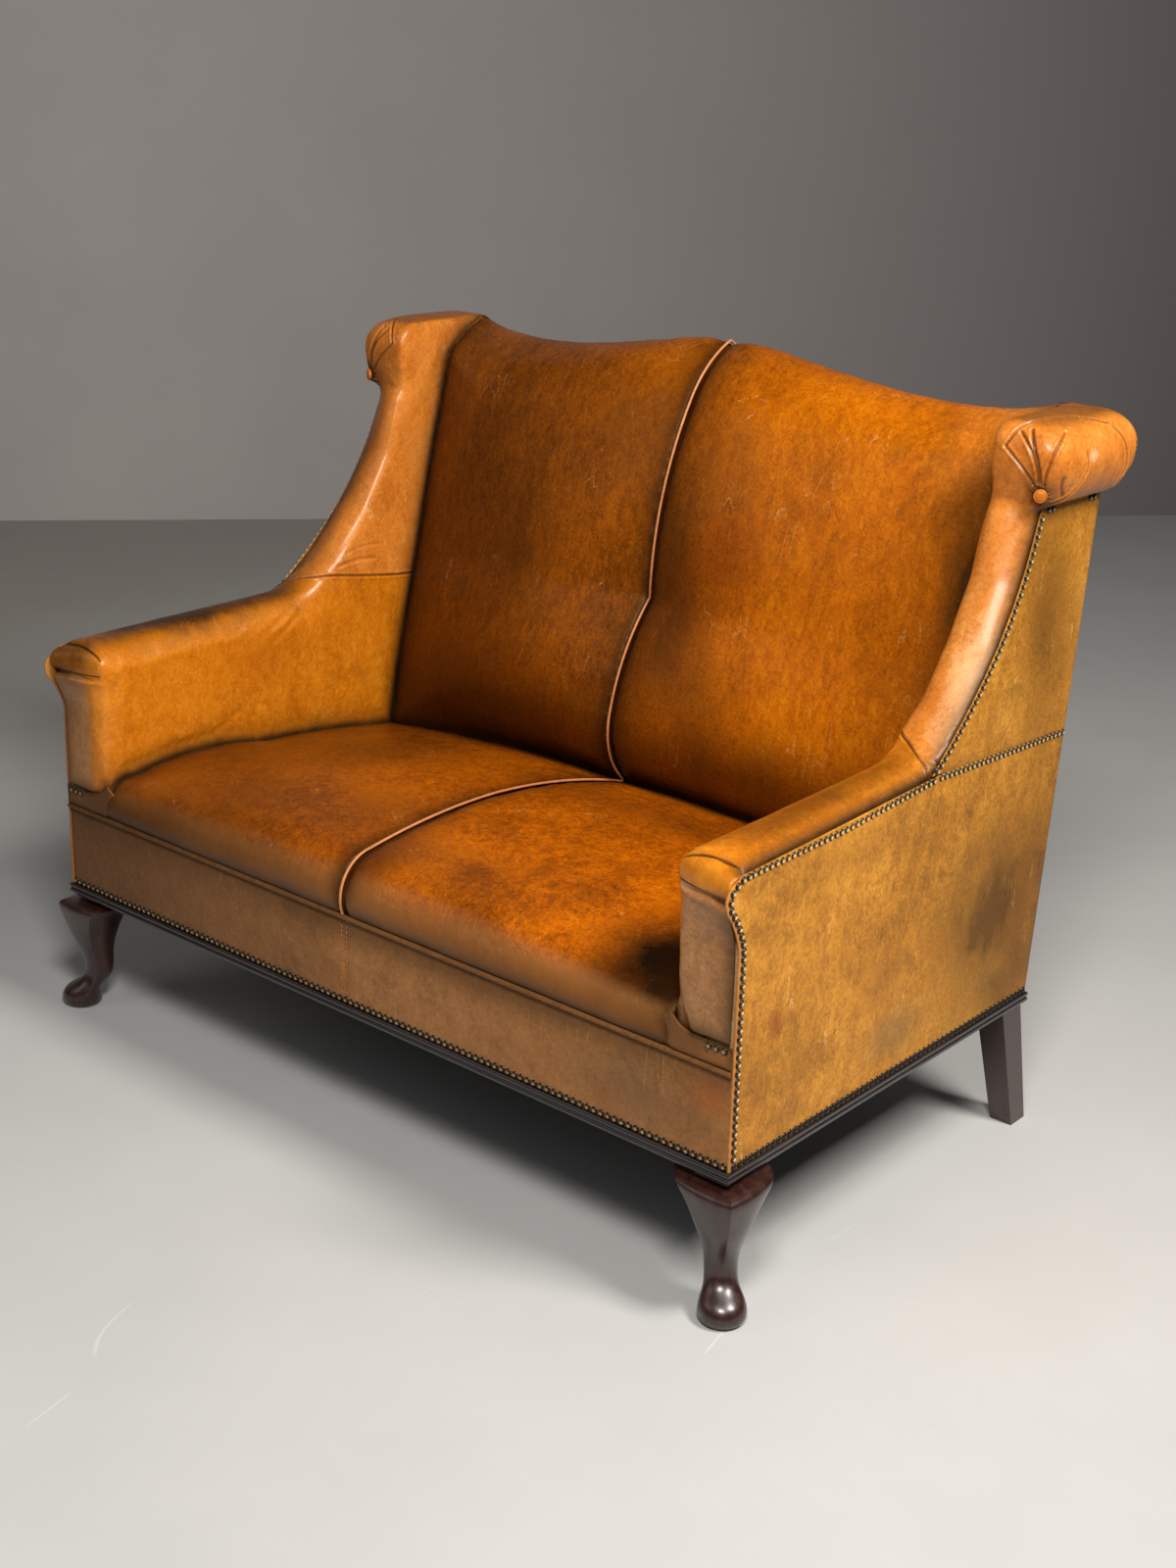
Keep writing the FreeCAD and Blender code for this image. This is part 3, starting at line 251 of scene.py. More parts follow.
seatLook = {
    **tanLook, "smudgeShare": 0.75, "level": 0.44, "blotch": 10, "cloud": 4.2, "rough": 0.4,
    # painted light falloff: the seat is darker to the left
    "paintedFalloffs": (("X", -0.02, -0.42, 0.6),), "worn": tint(160, 106, 58), "wearShare": 0.75, "shadeShare": 0.8,
    "sheen": tint(255, 200, 130),
    "stops": leatherStops((0.1, (86, 38, 0)), (0.36, (140, 66, 0)), (0.6, (184, 92, 0)), (0.88, (210, 118, 6))),
    "stainsAndPaintedLight": (
        (0.0, -0.4, 0.44, 0.06, 0.12, 0.1, 0.6, 58, 24, 4), (-0.1, -0.3, 0.45, 0.12, 0.1, 0.1, 0.45, 60, 26, 4),
        # both patches here: the right arm's painted shadow on the seat
        (0.54, -0.36, 0.42, 0.14, 0.16, 0.12, 0.9, 14, 6, 0), (0.5, -0.2, 0.44, 0.1, 0.12, 0.1, 0.5, 60, 26, 4),
        (0.12, -0.36, 0.44, 0.13, 0.06, 0.06, 0.4, 92, 46, 10), (0.2, 0.0, 0.45, 0.4, 0.07, 0.1, 0.45, 64, 26, 2),
        # first patch: the darkest part of the same painted shadow
        (0.475, -0.345, 0.415, 0.1, 0.1, 0.07, 1.0, 8, 3, 0), (-0.3, -0.38, 0.44, 0.12, 0.08, 0.1, 0.4, 70, 34, 8),
        (-0.3, -0.1, 0.45, 0.16, 0.1, 0.1, 0.35, 70, 30, 4),
    ),
}
armLook = {
    **tanLook, "level": 0.57, "contrast": 2.2, "coat": 0.5, "rough": 0.42, "smudgeShare": 0.5, "shadeShare": 0.8,
    "blends": {"wing": wingDye, "front": frontDye},
    "stainsAndPaintedLight": (
        # painted shade on the left arm's top
        (-0.61, -0.24, 0.625, 0.07, 0.32, 0.05, 1.0, 64, 32, 8),
        # painted shadow on the front of the left nose
        (-0.62, -0.44, 0.59, 0.06, 0.03, 0.05, 0.7, 60, 30, 10),
        (-0.6, -0.05, 0.65, 0.05, 0.07, 0.05, 0.5, 70, 34, 10),
        (0.61, -0.25, 0.62, 0.05, 0.16, 0.04, 0.35, 92, 40, 4),
        (-0.557, -0.1, 0.55, 0.05, 0.09, 0.06, 0.3, 140, 56, 10),
        # first patch: painted shade on the left wing
        (-0.64, 0.1, 0.75, 0.045, 0.2, 0.3, 0.9, 84, 42, 12), (-0.61, 0.2, 0.86, 0.05, 0.1, 0.12, 0.5, 120, 66, 26),
        (-0.6, 0.06, 0.67, 0.06, 0.08, 0.05, 0.3, 140, 84, 40), (0.6, 0.05, 0.7, 0.05, 0.05, 0.04, 0.25, 110, 52, 14),
        # painted light on the right nose
        (0.628, -0.445, 0.595, 0.05, 0.03, 0.03, 0.65, 236, 146, 30),
        # painted highlight on the right wing's roll
        (0.627, 0.105, 0.735, 0.034, 0.075, 0.13, 0.6, 250, 206, 156),
        (0.6705, 0.302, 1.003, 0.01, 0.013, 0.01, 0.9, 214, 178, 128),
    ),
}
buttonLeather = {**tanLook, "level": 0.42, "contrast": 1.4, "stops": wingDye}
frontLook = {
    **tanLook, "level": 0.47, "contrast": 1.8, "coat": 0.05, "rough": 0.5, "stops": frontDye, "shadeShare": 0.55,
    # painted shade just below the welt, and painted light falloff to the left
    "paintedFalloffs": (("Z", 0.285, 0.05, 0.42), ("X", 0.0, -0.5, 0.65)),
    "stainsAndPaintedLight": (
        # second patch: painted shade just below the welt
        (0.5, -0.42, 0.27, 0.13, 0.08, 0.05, 0.5, 84, 68, 52), (0.25, -0.42, 0.33, 0.45, 0.08, 0.022, 0.5, 88, 50, 20),
        (0.62, -0.42, 0.3, 0.035, 0.08, 0.03, 0.5, 170, 88, 30),
    ),
}
ochreLook = {
    **tanLook, "level": 0.49, "contrast": 2.75, "streak": (1.1, 1.1, 0.85), "turn": (0.3, 0, 0), "rough": 0.52,
    "coat": 0.04, "sheen": tint(255, 190, 110),
    "mottle": 46, "scuff": 0.75, "dark": tint(66, 40, 12), "smudgeShare": 0.7, "worn": tint(186, 118, 72),
    # painted light falloff: the sides are darker towards the rear
    "paintedFalloffs": (("Y", -0.02, 0.3, 0.22),),
    "stainsAndPaintedLight": (
        (0.65, 0.2, 0.37, 0.1, 0.2, 0.14, 0.85, 60, 36, 10), (0.65, 0.27, 0.25, 0.1, 0.2, 0.08, 0.5, 64, 42, 16),
        (0.65, -0.065, 0.27, 0.1, 0.08, 0.04, 0.5, 96, 84, 58),
        (0.65, -0.34, 0.385, 0.1, 0.016, 0.024, 0.7, 138, 56, 18),
        (0.65, -0.1, 0.36, 0.1, 0.06, 0.05, 0.3, 110, 62, 26), (0.65, 0.28, 0.76, 0.1, 0.08, 0.18, 0.65, 78, 44, 8),
        (0.65, 0.2, 0.9, 0.1, 0.1, 0.05, 0.4, 80, 46, 12), (0.65, -0.15, 0.56, 0.1, 0.2, 0.03, 0.25, 112, 70, 20),
        # this patch and the next: painted shade on the left outer sheets' front edges, which face away from the light
        (-0.655, -0.43, 0.45, 0.03, 0.03, 0.35, 1.0, 70, 42, 22),
        (-0.65, 0.15, 0.78, 0.03, 0.15, 0.2, 1.0, 90, 52, 24),
    ),
    "stops": leatherStops((0.1, (112, 70, 18)), (0.38, (164, 106, 32)), (0.6, (200, 134, 44)), (0.88, (224, 164, 70))),
}
pipingLook = {
    **tanLook, "level": 0.55, "contrast": 1.3, "smudgeShare": 0.35, "mottle": 30,
    "stops": leatherStops((0.1, (112, 62, 32)), (0.4, (168, 100, 56)), (0.6, (196, 126, 78)), (0.88, (220, 156, 106))),
}


def darkWood(name, look):
    g = Graph(name)
    grainPlace = g.place(look["grain"])
    broad = g.noise(grainPlace, 14, 4, 0.6, 0.8)
    fine = g.noise(grainPlace, 90, 4, 0.7, 0.3)
    tone = (broad * 0.6 + fine * 0.4 - 0.5) * look["contrast"] + 0.5
    colour = g.ramp(tone, look["stops"])
    place = g.place()
    worn = g.noise(place, 38, 5, 0.7).above(0.5, 0.16) * g.part(place, "Z").below(look["wornBelow"], 0.02)
    colour = g.mix(worn * 0.7, colour, look["worn"])
    dents = g.noise(place, 60, 2, 0.5)
    normal = g.bump(fine, 0.0003, 0.5)
    normal = g.bump(dents, 0.0007, 0.4, normal)
    rough = look["rough"] + (broad - 0.5) * 0.3 + worn * 0.25
    return g.surface({"Base Color": colour, "Roughness": rough.clamped(), "Normal": normal, "Coat Weight": look["coat"],
                      "Coat Roughness": 0.2})


woodLook = {
    "grain": (6, 6, 0.8), "contrast": 1.5, "rough": 0.34, "coat": 0.5, "wornBelow": 0.022,
    "stops": leatherStops((0.2, (20, 9, 7)), (0.5, (44, 20, 14)), (0.8, (72, 36, 24))),
    "worn": tint(126, 88, 66),
}
mouldingLook = {**woodLook, "grain": (0.8, 0.8, 7), "wornBelow": 0.0,
                "stops": leatherStops((0.2, (12, 8, 7)), (0.5, (26, 16, 13)), (0.8, (46, 30, 24)))}
frameLook = {**woodLook, "grain": (1.2, 1.2, 5), "rough": 0.6, "coat": 0.0, "wornBelow": 0.0,
             "stops": leatherStops((0.2, (150, 112, 70)), (0.5, (184, 146, 98)), (0.8, (208, 174, 126)))}


def brass(name, look):
    g = Graph(name)
    place = g.place()
    patina = g.noise(place, 120, 4, 0.7)
    grit = g.noise(place, 900, 2, 0.6)
    side = g.node("ShaderNodeNewGeometry", output="Normal")
    # painted highlight: the crown of each dome, where it faces out, is lighter and its rim darker; partly also the
    # polished crown
    crown = abs(g.part(side, look["axis"])).above(0.8, 0.17)
    tone = (patina * 0.5 + grit * 0.15 + crown * 0.75 - 0.3).clamped()
    return g.surface({
        "Base Color": g.ramp(tone, look["stops"]), "Metallic": 0.35, "Normal": g.bump(grit, 0.0002, 0.5),
        "Roughness": (0.4 - crown * 0.16 + (grit - 0.5) * 0.2).clamped(),
    })


# the lightest stops here and in the next ramp are the painted highlight on the nail crowns
brassStops = leatherStops((0.05, (34, 25, 13)), (0.3, (86, 64, 32)), (0.6, (206, 168, 98)), (0.9, (255, 238, 190)))
frontStops = leatherStops((0.05, (28, 20, 10)), (0.3, (62, 46, 24)), (0.65, (146, 114, 66)), (0.95, (232, 202, 150)))


def woven(name, look):
    g = Graph(name)
    place = g.place()
    x, y, z = (g.part(place, axis) for axis in "XYZ")
    across, along = (x, z) if look["upright"] else (x, y)
    pitch = math.pi * 2 / look["pitch"]
    warp = (across * pitch).join("SINE", across * pitch)
    weft = (along * pitch).join("SINE", along * pitch)
    weave = warp * weft * 0.5 + 0.5
    fuzz = g.noise(place, 180, 4, 0.7)
    colour = g.ramp(weave * 0.5 + fuzz * 0.5, look["stops"])
    rough = (0.8 + fuzz * 0.15).clamped()
    return g.surface({"Base Color": colour, "Roughness": rough, "Normal": g.bump(weave + fuzz, 0.0006, 0.8)})


def clothLookOf(pitch, *colours):
    return {"upright": False, "pitch": pitch, "stops": leatherStops(*zip((0.2, 0.6, 0.9), colours))}


juteLook = clothLookOf(0.006, (96, 74, 46), (150, 122, 80), (186, 158, 112))
canvasLook = clothLookOf(0.003, (150, 140, 116), (190, 180, 156), (214, 206, 184))
clothLook = clothLookOf(0.0025, (18, 18, 19), (34, 34, 35), (52, 52, 52))


def springSteel(name):
    g = Graph(name)
    place = g.place()
    rust = g.noise(place, 80, 5, 0.7).above(0.55, 0.1)
    colour = g.mix(rust, tint(120, 118, 114), tint(110, 70, 44))
    rough, metal = (0.35 + rust * 0.4).clamped(), (1 - rust * 0.8).clamped()
    return g.surface({"Base Color": colour, "Metallic": metal, "Roughness": rough})


finishes = {
    **{key: leather(key + "Leather", look) for key, look in (
        ("seat", seatLook), ("back", backLook), ("arm", armLook), ("button", buttonLeather), ("front", frontLook),
        ("ochre", ochreLook), ("piping", pipingLook))},
    "leg": darkWood("legWood", woodLook), "moulding": darkWood("mouldingWood", mouldingLook),
    "frame": darkWood("frameWood", frameLook), "sideNails": brass("sideBrass", {"axis": "X", "stops": brassStops}),
    "frontNails": brass("frontBrass", {"axis": "Y", "stops": frontStops}),
    "jute": woven("juteWebbing", juteLook), "canvas": woven("frameCanvas", canvasLook),
    "uprightJute": woven("uprightWebbing", {**juteLook, "upright": True}),
    "uprightCanvas": woven("uprightCanvas", {**canvasLook, "upright": True}),
    "underCloth": woven("underCloth", clothLook), "steel": springSteel("springSteel"),
    "fill": woven("cottonFill", {**canvasLook, "pitch": 0.02}),
}
print("materials made")


# Pieces and their meshes

def linked(name, data):  # a new object in the scene
    made = bpy.data.objects.new(name, data)
    scene.collection.objects.link(made)
    return made


def addPiece(name, mesh, finish, stands=()):
    piece = linked(name, mesh)
    mesh.materials.clear()
    mesh.materials.append(finishes[finish])
    for polygon in mesh.polygons:
        polygon.use_smooth = True
    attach(piece, "root")
    if stands:
        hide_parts(*stands)
    return piece


def meshFrom(work, name):
    mesh = bpy.data.meshes.new(name)
    work.to_mesh(mesh)
    work.free()
    return mesh


def copied(work, geom):  # the corners of a copy
    return [g for g in bmesh.ops.duplicate(work, geom=geom)["geom"] if isinstance(g, bmesh.types.BMVert)]


@contextmanager
def changing(mesh):  # a mesh opened for bmesh operators
    work = bmesh.new()
    work.from_mesh(mesh)
    yield work
    work.to_mesh(mesh)
    work.free()


def joinInto(mesh, extra):
    extraMesh = meshFrom(extra, "extra")
    with changing(mesh) as work:
        work.from_mesh(extraMesh)
    bpy.data.meshes.remove(extraMesh)


def surfaceTree(mesh):
    return BVHTree.FromPolygons([v.co for v in mesh.vertices], [tuple(p.vertices) for p in mesh.polygons])


def namedMesh(piece, name):  # the piece's mesh with its modifiers applied
    graph = bpy.context.evaluated_depsgraph_get()
    mesh = bpy.data.meshes.new_from_object(piece.evaluated_get(graph))
    mesh.name = name
    return mesh


def applyModifiers(piece):
    piece.data = namedMesh(piece, piece.name)
    piece.modifiers.clear()


def mergedNodes(names, name, side=0):  # a copy of some CAD nodes with their doubles merged
    work = bmesh.new()
    for node in names:
        work.from_mesh(nodes[node].data)
    if side:
        far = [v for v in work.verts if (v.co.x - body["seam"]) * side < 0]
        bmesh.ops.delete(work, geom=far, context="VERTS")
    bmesh.ops.remove_doubles(work, verts=work.verts, dist=0.00002)
    return meshFrom(work, name)


def coordinates(mesh, key="co"):
    found = np.zeros(len(mesh.vertices) * 3)
    mesh.vertices.foreach_get(key, found)
    return found.reshape(-1, 3)


def normals(mesh):
    return coordinates(mesh, "normal")


def setCoordinates(mesh, points):
    mesh.vertices.foreach_set("co", np.ascontiguousarray(points, dtype=np.float32).ravel())
    mesh.update()


shownNodes = ("seat_cover", "back_cover", "inside_", "scroll_", "arm_front", "arm_nose", "front_", "seat_piping",
              "back_piping", "arm_nails", "wing_nails", "outside_")


def neighbours(own, low, high, reach=0.03, shown=False):  # the faces of other CAD nodes near a box, as one tree
    points, faces = [], []
    for name, node in nodes.items():
        if name in own or name in ("seat_springs", "seat_webbing", "back_webbing"):
            continue
        if shown and not name.startswith(shownNodes):
            continue
        near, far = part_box(name)
        if any(near[i] > high[i] + reach or far[i] < low[i] - reach for i in range(3)):
            continue
        start = len(points)
        points += [v.co.copy() for v in node.data.vertices]
        faces += [tuple(start + i for i in p.vertices) for p in node.data.polygons]
    return BVHTree.FromPolygons(points, faces)


def distances(points, tree, limit):
    found = np.full(len(points), limit)
    for i, point in enumerate(points):
        hit = tree.find_nearest(Vector(point), limit)
        if hit[0] is not None:
            found[i] = hit[3]
    return found


leatherCloth = {
    "quality": 4, "mass": 0.3, "use_pressure": True, "uniform_pressure_force": 4.0, "tension_stiffness": 15,
    "compression_stiffness": 15, "shear_stiffness": 5, "bending_stiffness": 0.5, "shrink_min": 0.0,
    "vertex_group_mass": "held",
}


def swell(piece, points, free, look):  # cloth with air pressure inside, held where it meets its neighbours
    group = piece.vertex_groups.new(name="held")
    for i, share in enumerate(free):
        group.add([i], float(1 - share), "REPLACE")
    inward = normals(piece.data) * (look["shrink"] * free)[:, None]
    setCoordinates(piece.data, points - inward)
    cloth = piece.modifiers.new("air", "CLOTH")
    for key, value in leatherCloth.items():
        setattr(cloth.settings, key, value)
    cloth.settings.effector_weights.gravity = 0
    cloth.collision_settings.use_collision = cloth.collision_settings.use_self_collision = False
    for step in range(1, 21):
        scene.frame_set(step)
    puffed = namedMesh(piece, "puffed")
    moved = coordinates(puffed) - points
    bpy.data.meshes.remove(puffed)
    piece.modifiers.remove(cloth)
    piece.vertex_groups.remove(group)
    scene.frame_set(1)
    length = np.linalg.norm(moved, axis=1)
    allowed = look["cap"] * free
    share = np.where(length > 1e-9, allowed * np.tanh(length / np.maximum(allowed, 1e-6)) / np.maximum(length, 1e-9), 0)
    setCoordinates(piece.data, points + moved * share[:, None])


def softly(piece, passes, chosen=None):  # rounds all of a mesh, or the chosen part
    with changing(piece.data) as work:
        verts = [v for v in work.verts if chosen is None or chosen[v.index]]
        for step in range(passes):
            bmesh.ops.smooth_vert(work, verts=verts, factor=0.5, use_axis_x=True, use_axis_y=True, use_axis_z=True)


def above(values, start, width):  # from 0 to 1 over a width, which is negative where it looks below the start
    return np.clip((values - start) / width, 0, 1)


def within(points, low, high):
    return np.all((points >= np.array(low)) & (points <= np.array(high)), axis=1)


def lineGap(points, line):  # how far each point is from a line of points
    best = np.full(len(points), 1e9)
    for a, b in zip(line, line[1:]):
        a, b = np.array(a), np.array(b)
        run = b - a
        share = np.clip((points - a) @ run / (run @ run), 0, 1)
        best = np.minimum(best, np.linalg.norm(points - a - share[:, None] * run, axis=1))
    return best


def levelGap(points, axis, level, low, high):  # the same for a straight cut through the surface
    inside = within(points, low, high)
    return np.where(inside, np.abs(points[:, axis] - level), 1e9)


def onSurface(folds, piece):  # each line rounded and laid on the pad's own surface
    tree, laid = surfaceTree(piece.data), []
    for look in folds:
        if "line" in look:
            line = [Vector(p) for p in look["line"]]
            for step in range(2):
                cut = [q for a, b in zip(line, line[1:]) for q in (a.lerp(b, 0.25), a.lerp(b, 0.75))]
                line = [line[0]] + cut[1:-1] + [line[-1]]
            look = {**look, "line": [tuple(tree.find_nearest(p)[0]) for p in line]}
        laid.append(look)
    return laid


def seam(depth, width, ridge=0.0, away=0.0, dirt=0.85, **where):  # one pressed line: where is a line or a cut
    return {"depth": depth, "width": width, "ridge": ridge, "away": away, "dirt": dirt, **where}


def foldGap(points, look):
    return lineGap(points, look["line"]) if "line" in look else levelGap(points, *look["cut"])


def fold(points, outward, look):  # presses a groove, with a ridge beside it, and returns how dark the groove is painted: dirt and painted shade
    best = foldGap(points, look)
    groove = np.exp(-(best / look["width"]) ** 2)
    ridge = look["ridge"] * np.exp(-((best - look["away"]) / look["width"]) ** 2)
    return points + outward * (ridge - look["depth"] * groove)[:, None], groove * look["dirt"]


def finerAt(piece, folds, reach):  # closer mesh along the folds
    points = coordinates(piece.data)
    close = np.zeros(len(points), bool)
    for look in folds:
        close |= foldGap(points, look) < reach
    with changing(piece.data) as work:
        edges = [e for e in work.edges if close[e.verts[0].index] and close[e.verts[1].index]]
        bmesh.ops.subdivide_edges(work, edges=edges, cuts=1, use_grid_fill=True)


def paintValue(mesh, name, values):
    attribute = mesh.attributes.new(name, "FLOAT", "POINT")
    attribute.data.foreach_set("value", np.ascontiguousarray(np.clip(values, 0, 1), dtype=np.float32))


lip = {"cell": 0.004, "corner": (0.59, 0.033), "tuck": (0.563, 0.035), "rise": 0.03, "sink": 0.012, "dip": 0.013}


def addStrip(piece, low, high):  # the leather runs on as a flat strip
    strip = bmesh.new()
    size, middle = Vector(high) - Vector(low), (Vector(high) + Vector(low)) / 2
    bmesh.ops.create_cube(strip, size=1, matrix=Matrix.Translation(middle) @ Matrix.Diagonal((*size, 1)))
    for axis in (0, 2):
        edges = [e for e in strip.edges if abs((e.verts[0].co - e.verts[1].co)[axis]) > size[axis] * 0.5]
        bmesh.ops.subdivide_edges(strip, edges=edges, cuts=int(size[axis] / lip["cell"]), use_grid_fill=True)
    for v in strip.verts:  # its top follows the arm's rounded corner, and it starts inside the seat
        turn, inside = (min(max((x - abs(v.co.x)) / width, 0), 1) for x, width in (lip["corner"], lip["tuck"]))
        rise = lip["rise"] * (1 - math.sqrt(1 - turn * turn)) * (1 - inside) - lip["sink"] * inside
        v.co.z = low[2] + (v.co.z - low[2]) * (size.z + rise) / size.z
        v.co.y += lip["dip"] * inside ** 1.5
    joinInto(piece.data, strip)


def addBridge(mesh, look):  # the arm's leather runs on up to the wing
    work = bmesh.new()
    bmesh.ops.create_cube(work, size=1)
    bmesh.ops.subdivide_edges(work, edges=work.edges, cuts=11, use_grid_fill=True)
    (left, right), (front, rear) = look["x"], look["y"]
    for v in work.verts:
        x, y = left + (right - left) * (v.co.x + 0.5), front + (rear - front) * (v.co.y + 0.5)
        top = float(np.interp(x, *zip(*look["tops"]))) + look["steep"] * (y - front) ** 2 / (2 * (rear - front))
        v.co = Vector((x, y, top - look["thick"] * (0.5 - v.co.z)))
    joinInto(mesh, work)


touch = {"reach": 0.012, "least": 0.0002, "clear": 0.0003}


def makePad(name, own, look, side=0):
    mesh = mergedNodes(own, name, side)
    if "bridge" in look:
        addBridge(mesh, look["bridge"])
    piece = linked(name, mesh)
    remesh = piece.modifiers.new("voxels", "REMESH")
    remesh.mode = "VOXEL"
    remesh.voxel_size = look["voxel"]
    remesh.use_smooth_shade = True
    applyModifiers(piece)
    softly(piece, 2)
    points = coordinates(piece.data)
    tree = neighbours(own, points.min(0), points.max(0))
    shownTree = neighbours(own, points.min(0), points.max(0), 0.1, True)
    gap = distances(points, tree, 0.04)
    for low, high, passes, clear in look.get("rounder", ()):
        softly(piece, passes, within(points, low, high) & (gap > clear))
    if "shape" in look:
        setCoordinates(piece.data, look["shape"](coordinates(piece.data), normals(piece.data)))
        softly(piece, 2, gap > 0.0012)
    points, outward = coordinates(piece.data), normals(piece.data)
    free = above(gap, look["hold"], look["ease"])
    free = free * free * (3 - 2 * free)
    if "crown" in look:  # fuller on both sides of the middle seam
        reach, rise = look["crown"]
        away = np.abs(points[:, 0] - body["seam"]) / reach
        points = points + outward * (rise * away * np.exp(1 - away) * free)[:, None]
        setCoordinates(piece.data, points)
    shade = np.exp(-distances(points, shownTree, 0.1) / look["shadeReach"])
    if "paintedTopShade" in look:  # painted shade on the up-facing tops
        facing, start = look["paintedTopShade"]
        top = above(outward[:, 2], facing, 1 - facing) ** 1.4
        shade = np.maximum(shade, top * above(points[:, 1], start, 0.1) * 0.8)
    paintValue(piece.data, "shade", shade)
    swell(piece, points, free, look)
    finer = piece.modifiers.new("finer", "SUBSURF")
    finer.levels = finer.render_levels = 1
    applyModifiers(piece)
    folds = onSurface(look.get("folds", ()), piece)
    if folds:
        finerAt(piece, folds, 0.007)
    if "strip" in look:
        addStrip(piece, *look["strip"][side])
    points, outward = coordinates(piece.data), normals(piece.data)
    creased = np.zeros(len(points))
    for line in folds:
        points, press = fold(points, outward, line)
        creased = np.maximum(creased, press)
    if "ripple" in look:
        size, height = look["ripple"]
        waves = np.array([noise.noise(Vector(p) * (1 / size)) for p in points])
        points = points + outward * (waves * height)[:, None]
    for i, point in enumerate(points):  # keeps clear of what it rests against
        near, facing, face, away = tree.find_nearest(Vector(point), touch["reach"])
        if near is not None and (Vector(point) - near).dot(facing) < touch["least"]:
            points[i] = near + facing * touch["clear"]
    gap = distances(points, shownTree, 0.03)
    setCoordinates(piece.data, points)
    # painted shade and grime within reach of the neighbouring leather and in the pressed folds
    paintValue(piece.data, "grime", np.maximum(np.exp(-(gap / look["grimeAndShadeReach"])), creased))
    for key, share in look.get("paint", {}).items():
        paintValue(piece.data, key, share(points, outward))
    mesh = piece.data
    bpy.data.objects.remove(piece)
    pad = addPiece(name, mesh, look["finish"], own)
    print("pad", name, len(mesh.vertices))
    return pad


def otherHand(pad, name, own, look):  # the same pad on the left
    work = bmesh.new()
    work.from_mesh(pad.data)
    bmesh.ops.scale(work, vec=(-1, 1, 1), verts=work.verts)
    bmesh.ops.reverse_faces(work, faces=work.faces)
    mesh = meshFrom(work, name)
    shares = np.zeros(len(mesh.vertices))
    mesh.attributes["front"].data.foreach_get("value", shares)  # here the inner leather comes round the corner
    shares *= above(coordinates(mesh)[:, 0], -0.582, -0.014)
    mesh.attributes["front"].data.foreach_set("value", shares.astype(np.float32))
    pair = addPiece(name, mesh, look["finish"], own)
    return pair


def seatWearAndSheen(points, outward):  # the front of the seat, low down: worn, and partly a painted sheen
    return above(points[:, 2], 0.425, -0.035) * above(points[:, 1], -0.405, -0.014)


def backDye(points, outward):  # the ends of the crest have the colour of the wings
    return above(np.abs(points[:, 0]), 0.4, 0.12) * above(points[:, 2], 0.9, 0.09) * 0.8


padLook = {
    "voxel": 0.0075, "shrink": 0.002, "cap": 0.006, "hold": 0.004, "ease": 0.03, "grimeAndShadeReach": 0.009,
    "shadeReach": 0.03, "fill": 0.85,
}
seatPad = {
    # the seat's painted wear is its worn front edge, partly a painted sheen
    **padLook, "finish": "seat", "ripple": (0.09, 0.0012), "crown": (0.045, 0.003), "paint": {"wear": seatWearAndSheen},
    "strip": {
        1: ((0.528, -0.4247, 0.3492), (0.6535, -0.4232, 0.3812)),
        -1: ((-0.6535, -0.4247, 0.3492), (-0.528, -0.4232, 0.3812)),
    },
}
backPad = {
    **padLook, "finish": "back", "ripple": (0.11, 0.0012), "crown": (0.055, 0.006), "shadeReach": 0.04,
    "paint": {"wing": backDye},
}
capSeam = ((0.5823, 0.2142, 1.0143), (0.5867, 0.2174, 1.025), (0.5917, 0.2243, 1.0366), (0.6023, 0.2396, 1.047),
           (0.612, 0.262, 1.0493), (0.6188, 0.2885, 1.0493), (0.6299, 0.318, 1.0493), (0.6449, 0.3474, 1.044),
           (0.6539, 0.3681, 1.0374))
capTip = (0.6362, 0.2272, 0.938)
scrollFolds = (
    seam(0.0026, 0.0015, 0.0008, 0.0045, 1.0, line=capSeam),
    seam(0.0028, 0.0015, 0.0005, 0.0045, line=(
        (0.5823, 0.2142, 1.0143), (0.5989, 0.2138, 0.9998), (0.6173, 0.216, 0.9826), (0.6292, 0.219, 0.9657),
        (0.63, 0.2215, 0.953), capTip)),
    seam(0.0032, 0.0018, 0.0006, 0.0045, line=(
        (0.5996, 0.2237, 1.0352), (0.6171, 0.2168, 1.0191), (0.6309, 0.2153, 0.9953), (0.6362, 0.2183, 0.9722))),
    seam(0.0045, 0.0021, 0.0006, 0.005, 1.0, line=(
        (0.613, 0.2278, 1.0392), (0.6226, 0.2172, 1.0199), (0.6338, 0.2154, 0.9957), (0.6376, 0.2181, 0.9737))),
    seam(0.0026, 0.0015, 0.001, 0.0045, line=(
        (0.6498, 0.2532, 1.0388), (0.6536, 0.2333, 1.0263), (0.6507, 0.2197, 1.0042), (0.6452, 0.218, 0.9841),
        (0.6417, 0.2195, 0.9703))),
    seam(0.0018, 0.003, line=((0.6644, 0.2372, 0.9779), (0.661, 0.238, 0.9655), (0.6595, 0.2489, 0.9518))),
    seam(0.0022, 0.0015, 0.0012, 0.0045, line=(
        (0.6695, 0.2847, 1.009), (0.6709, 0.2907, 0.9953), (0.67, 0.2899, 0.9821), (0.6656, 0.2755, 0.9622),
        (0.656, 0.2541, 0.9452), capTip)),
    seam(0.002, 0.002, 0.001, 0.005, line=(
        (0.6539, 0.3681, 1.0374), (0.6658, 0.3857, 1.021), (0.6703, 0.3952, 1.0043), (0.6698, 0.4022, 0.9803),
        (0.6665, 0.4008, 0.965), (0.655, 0.399, 0.95))),
)
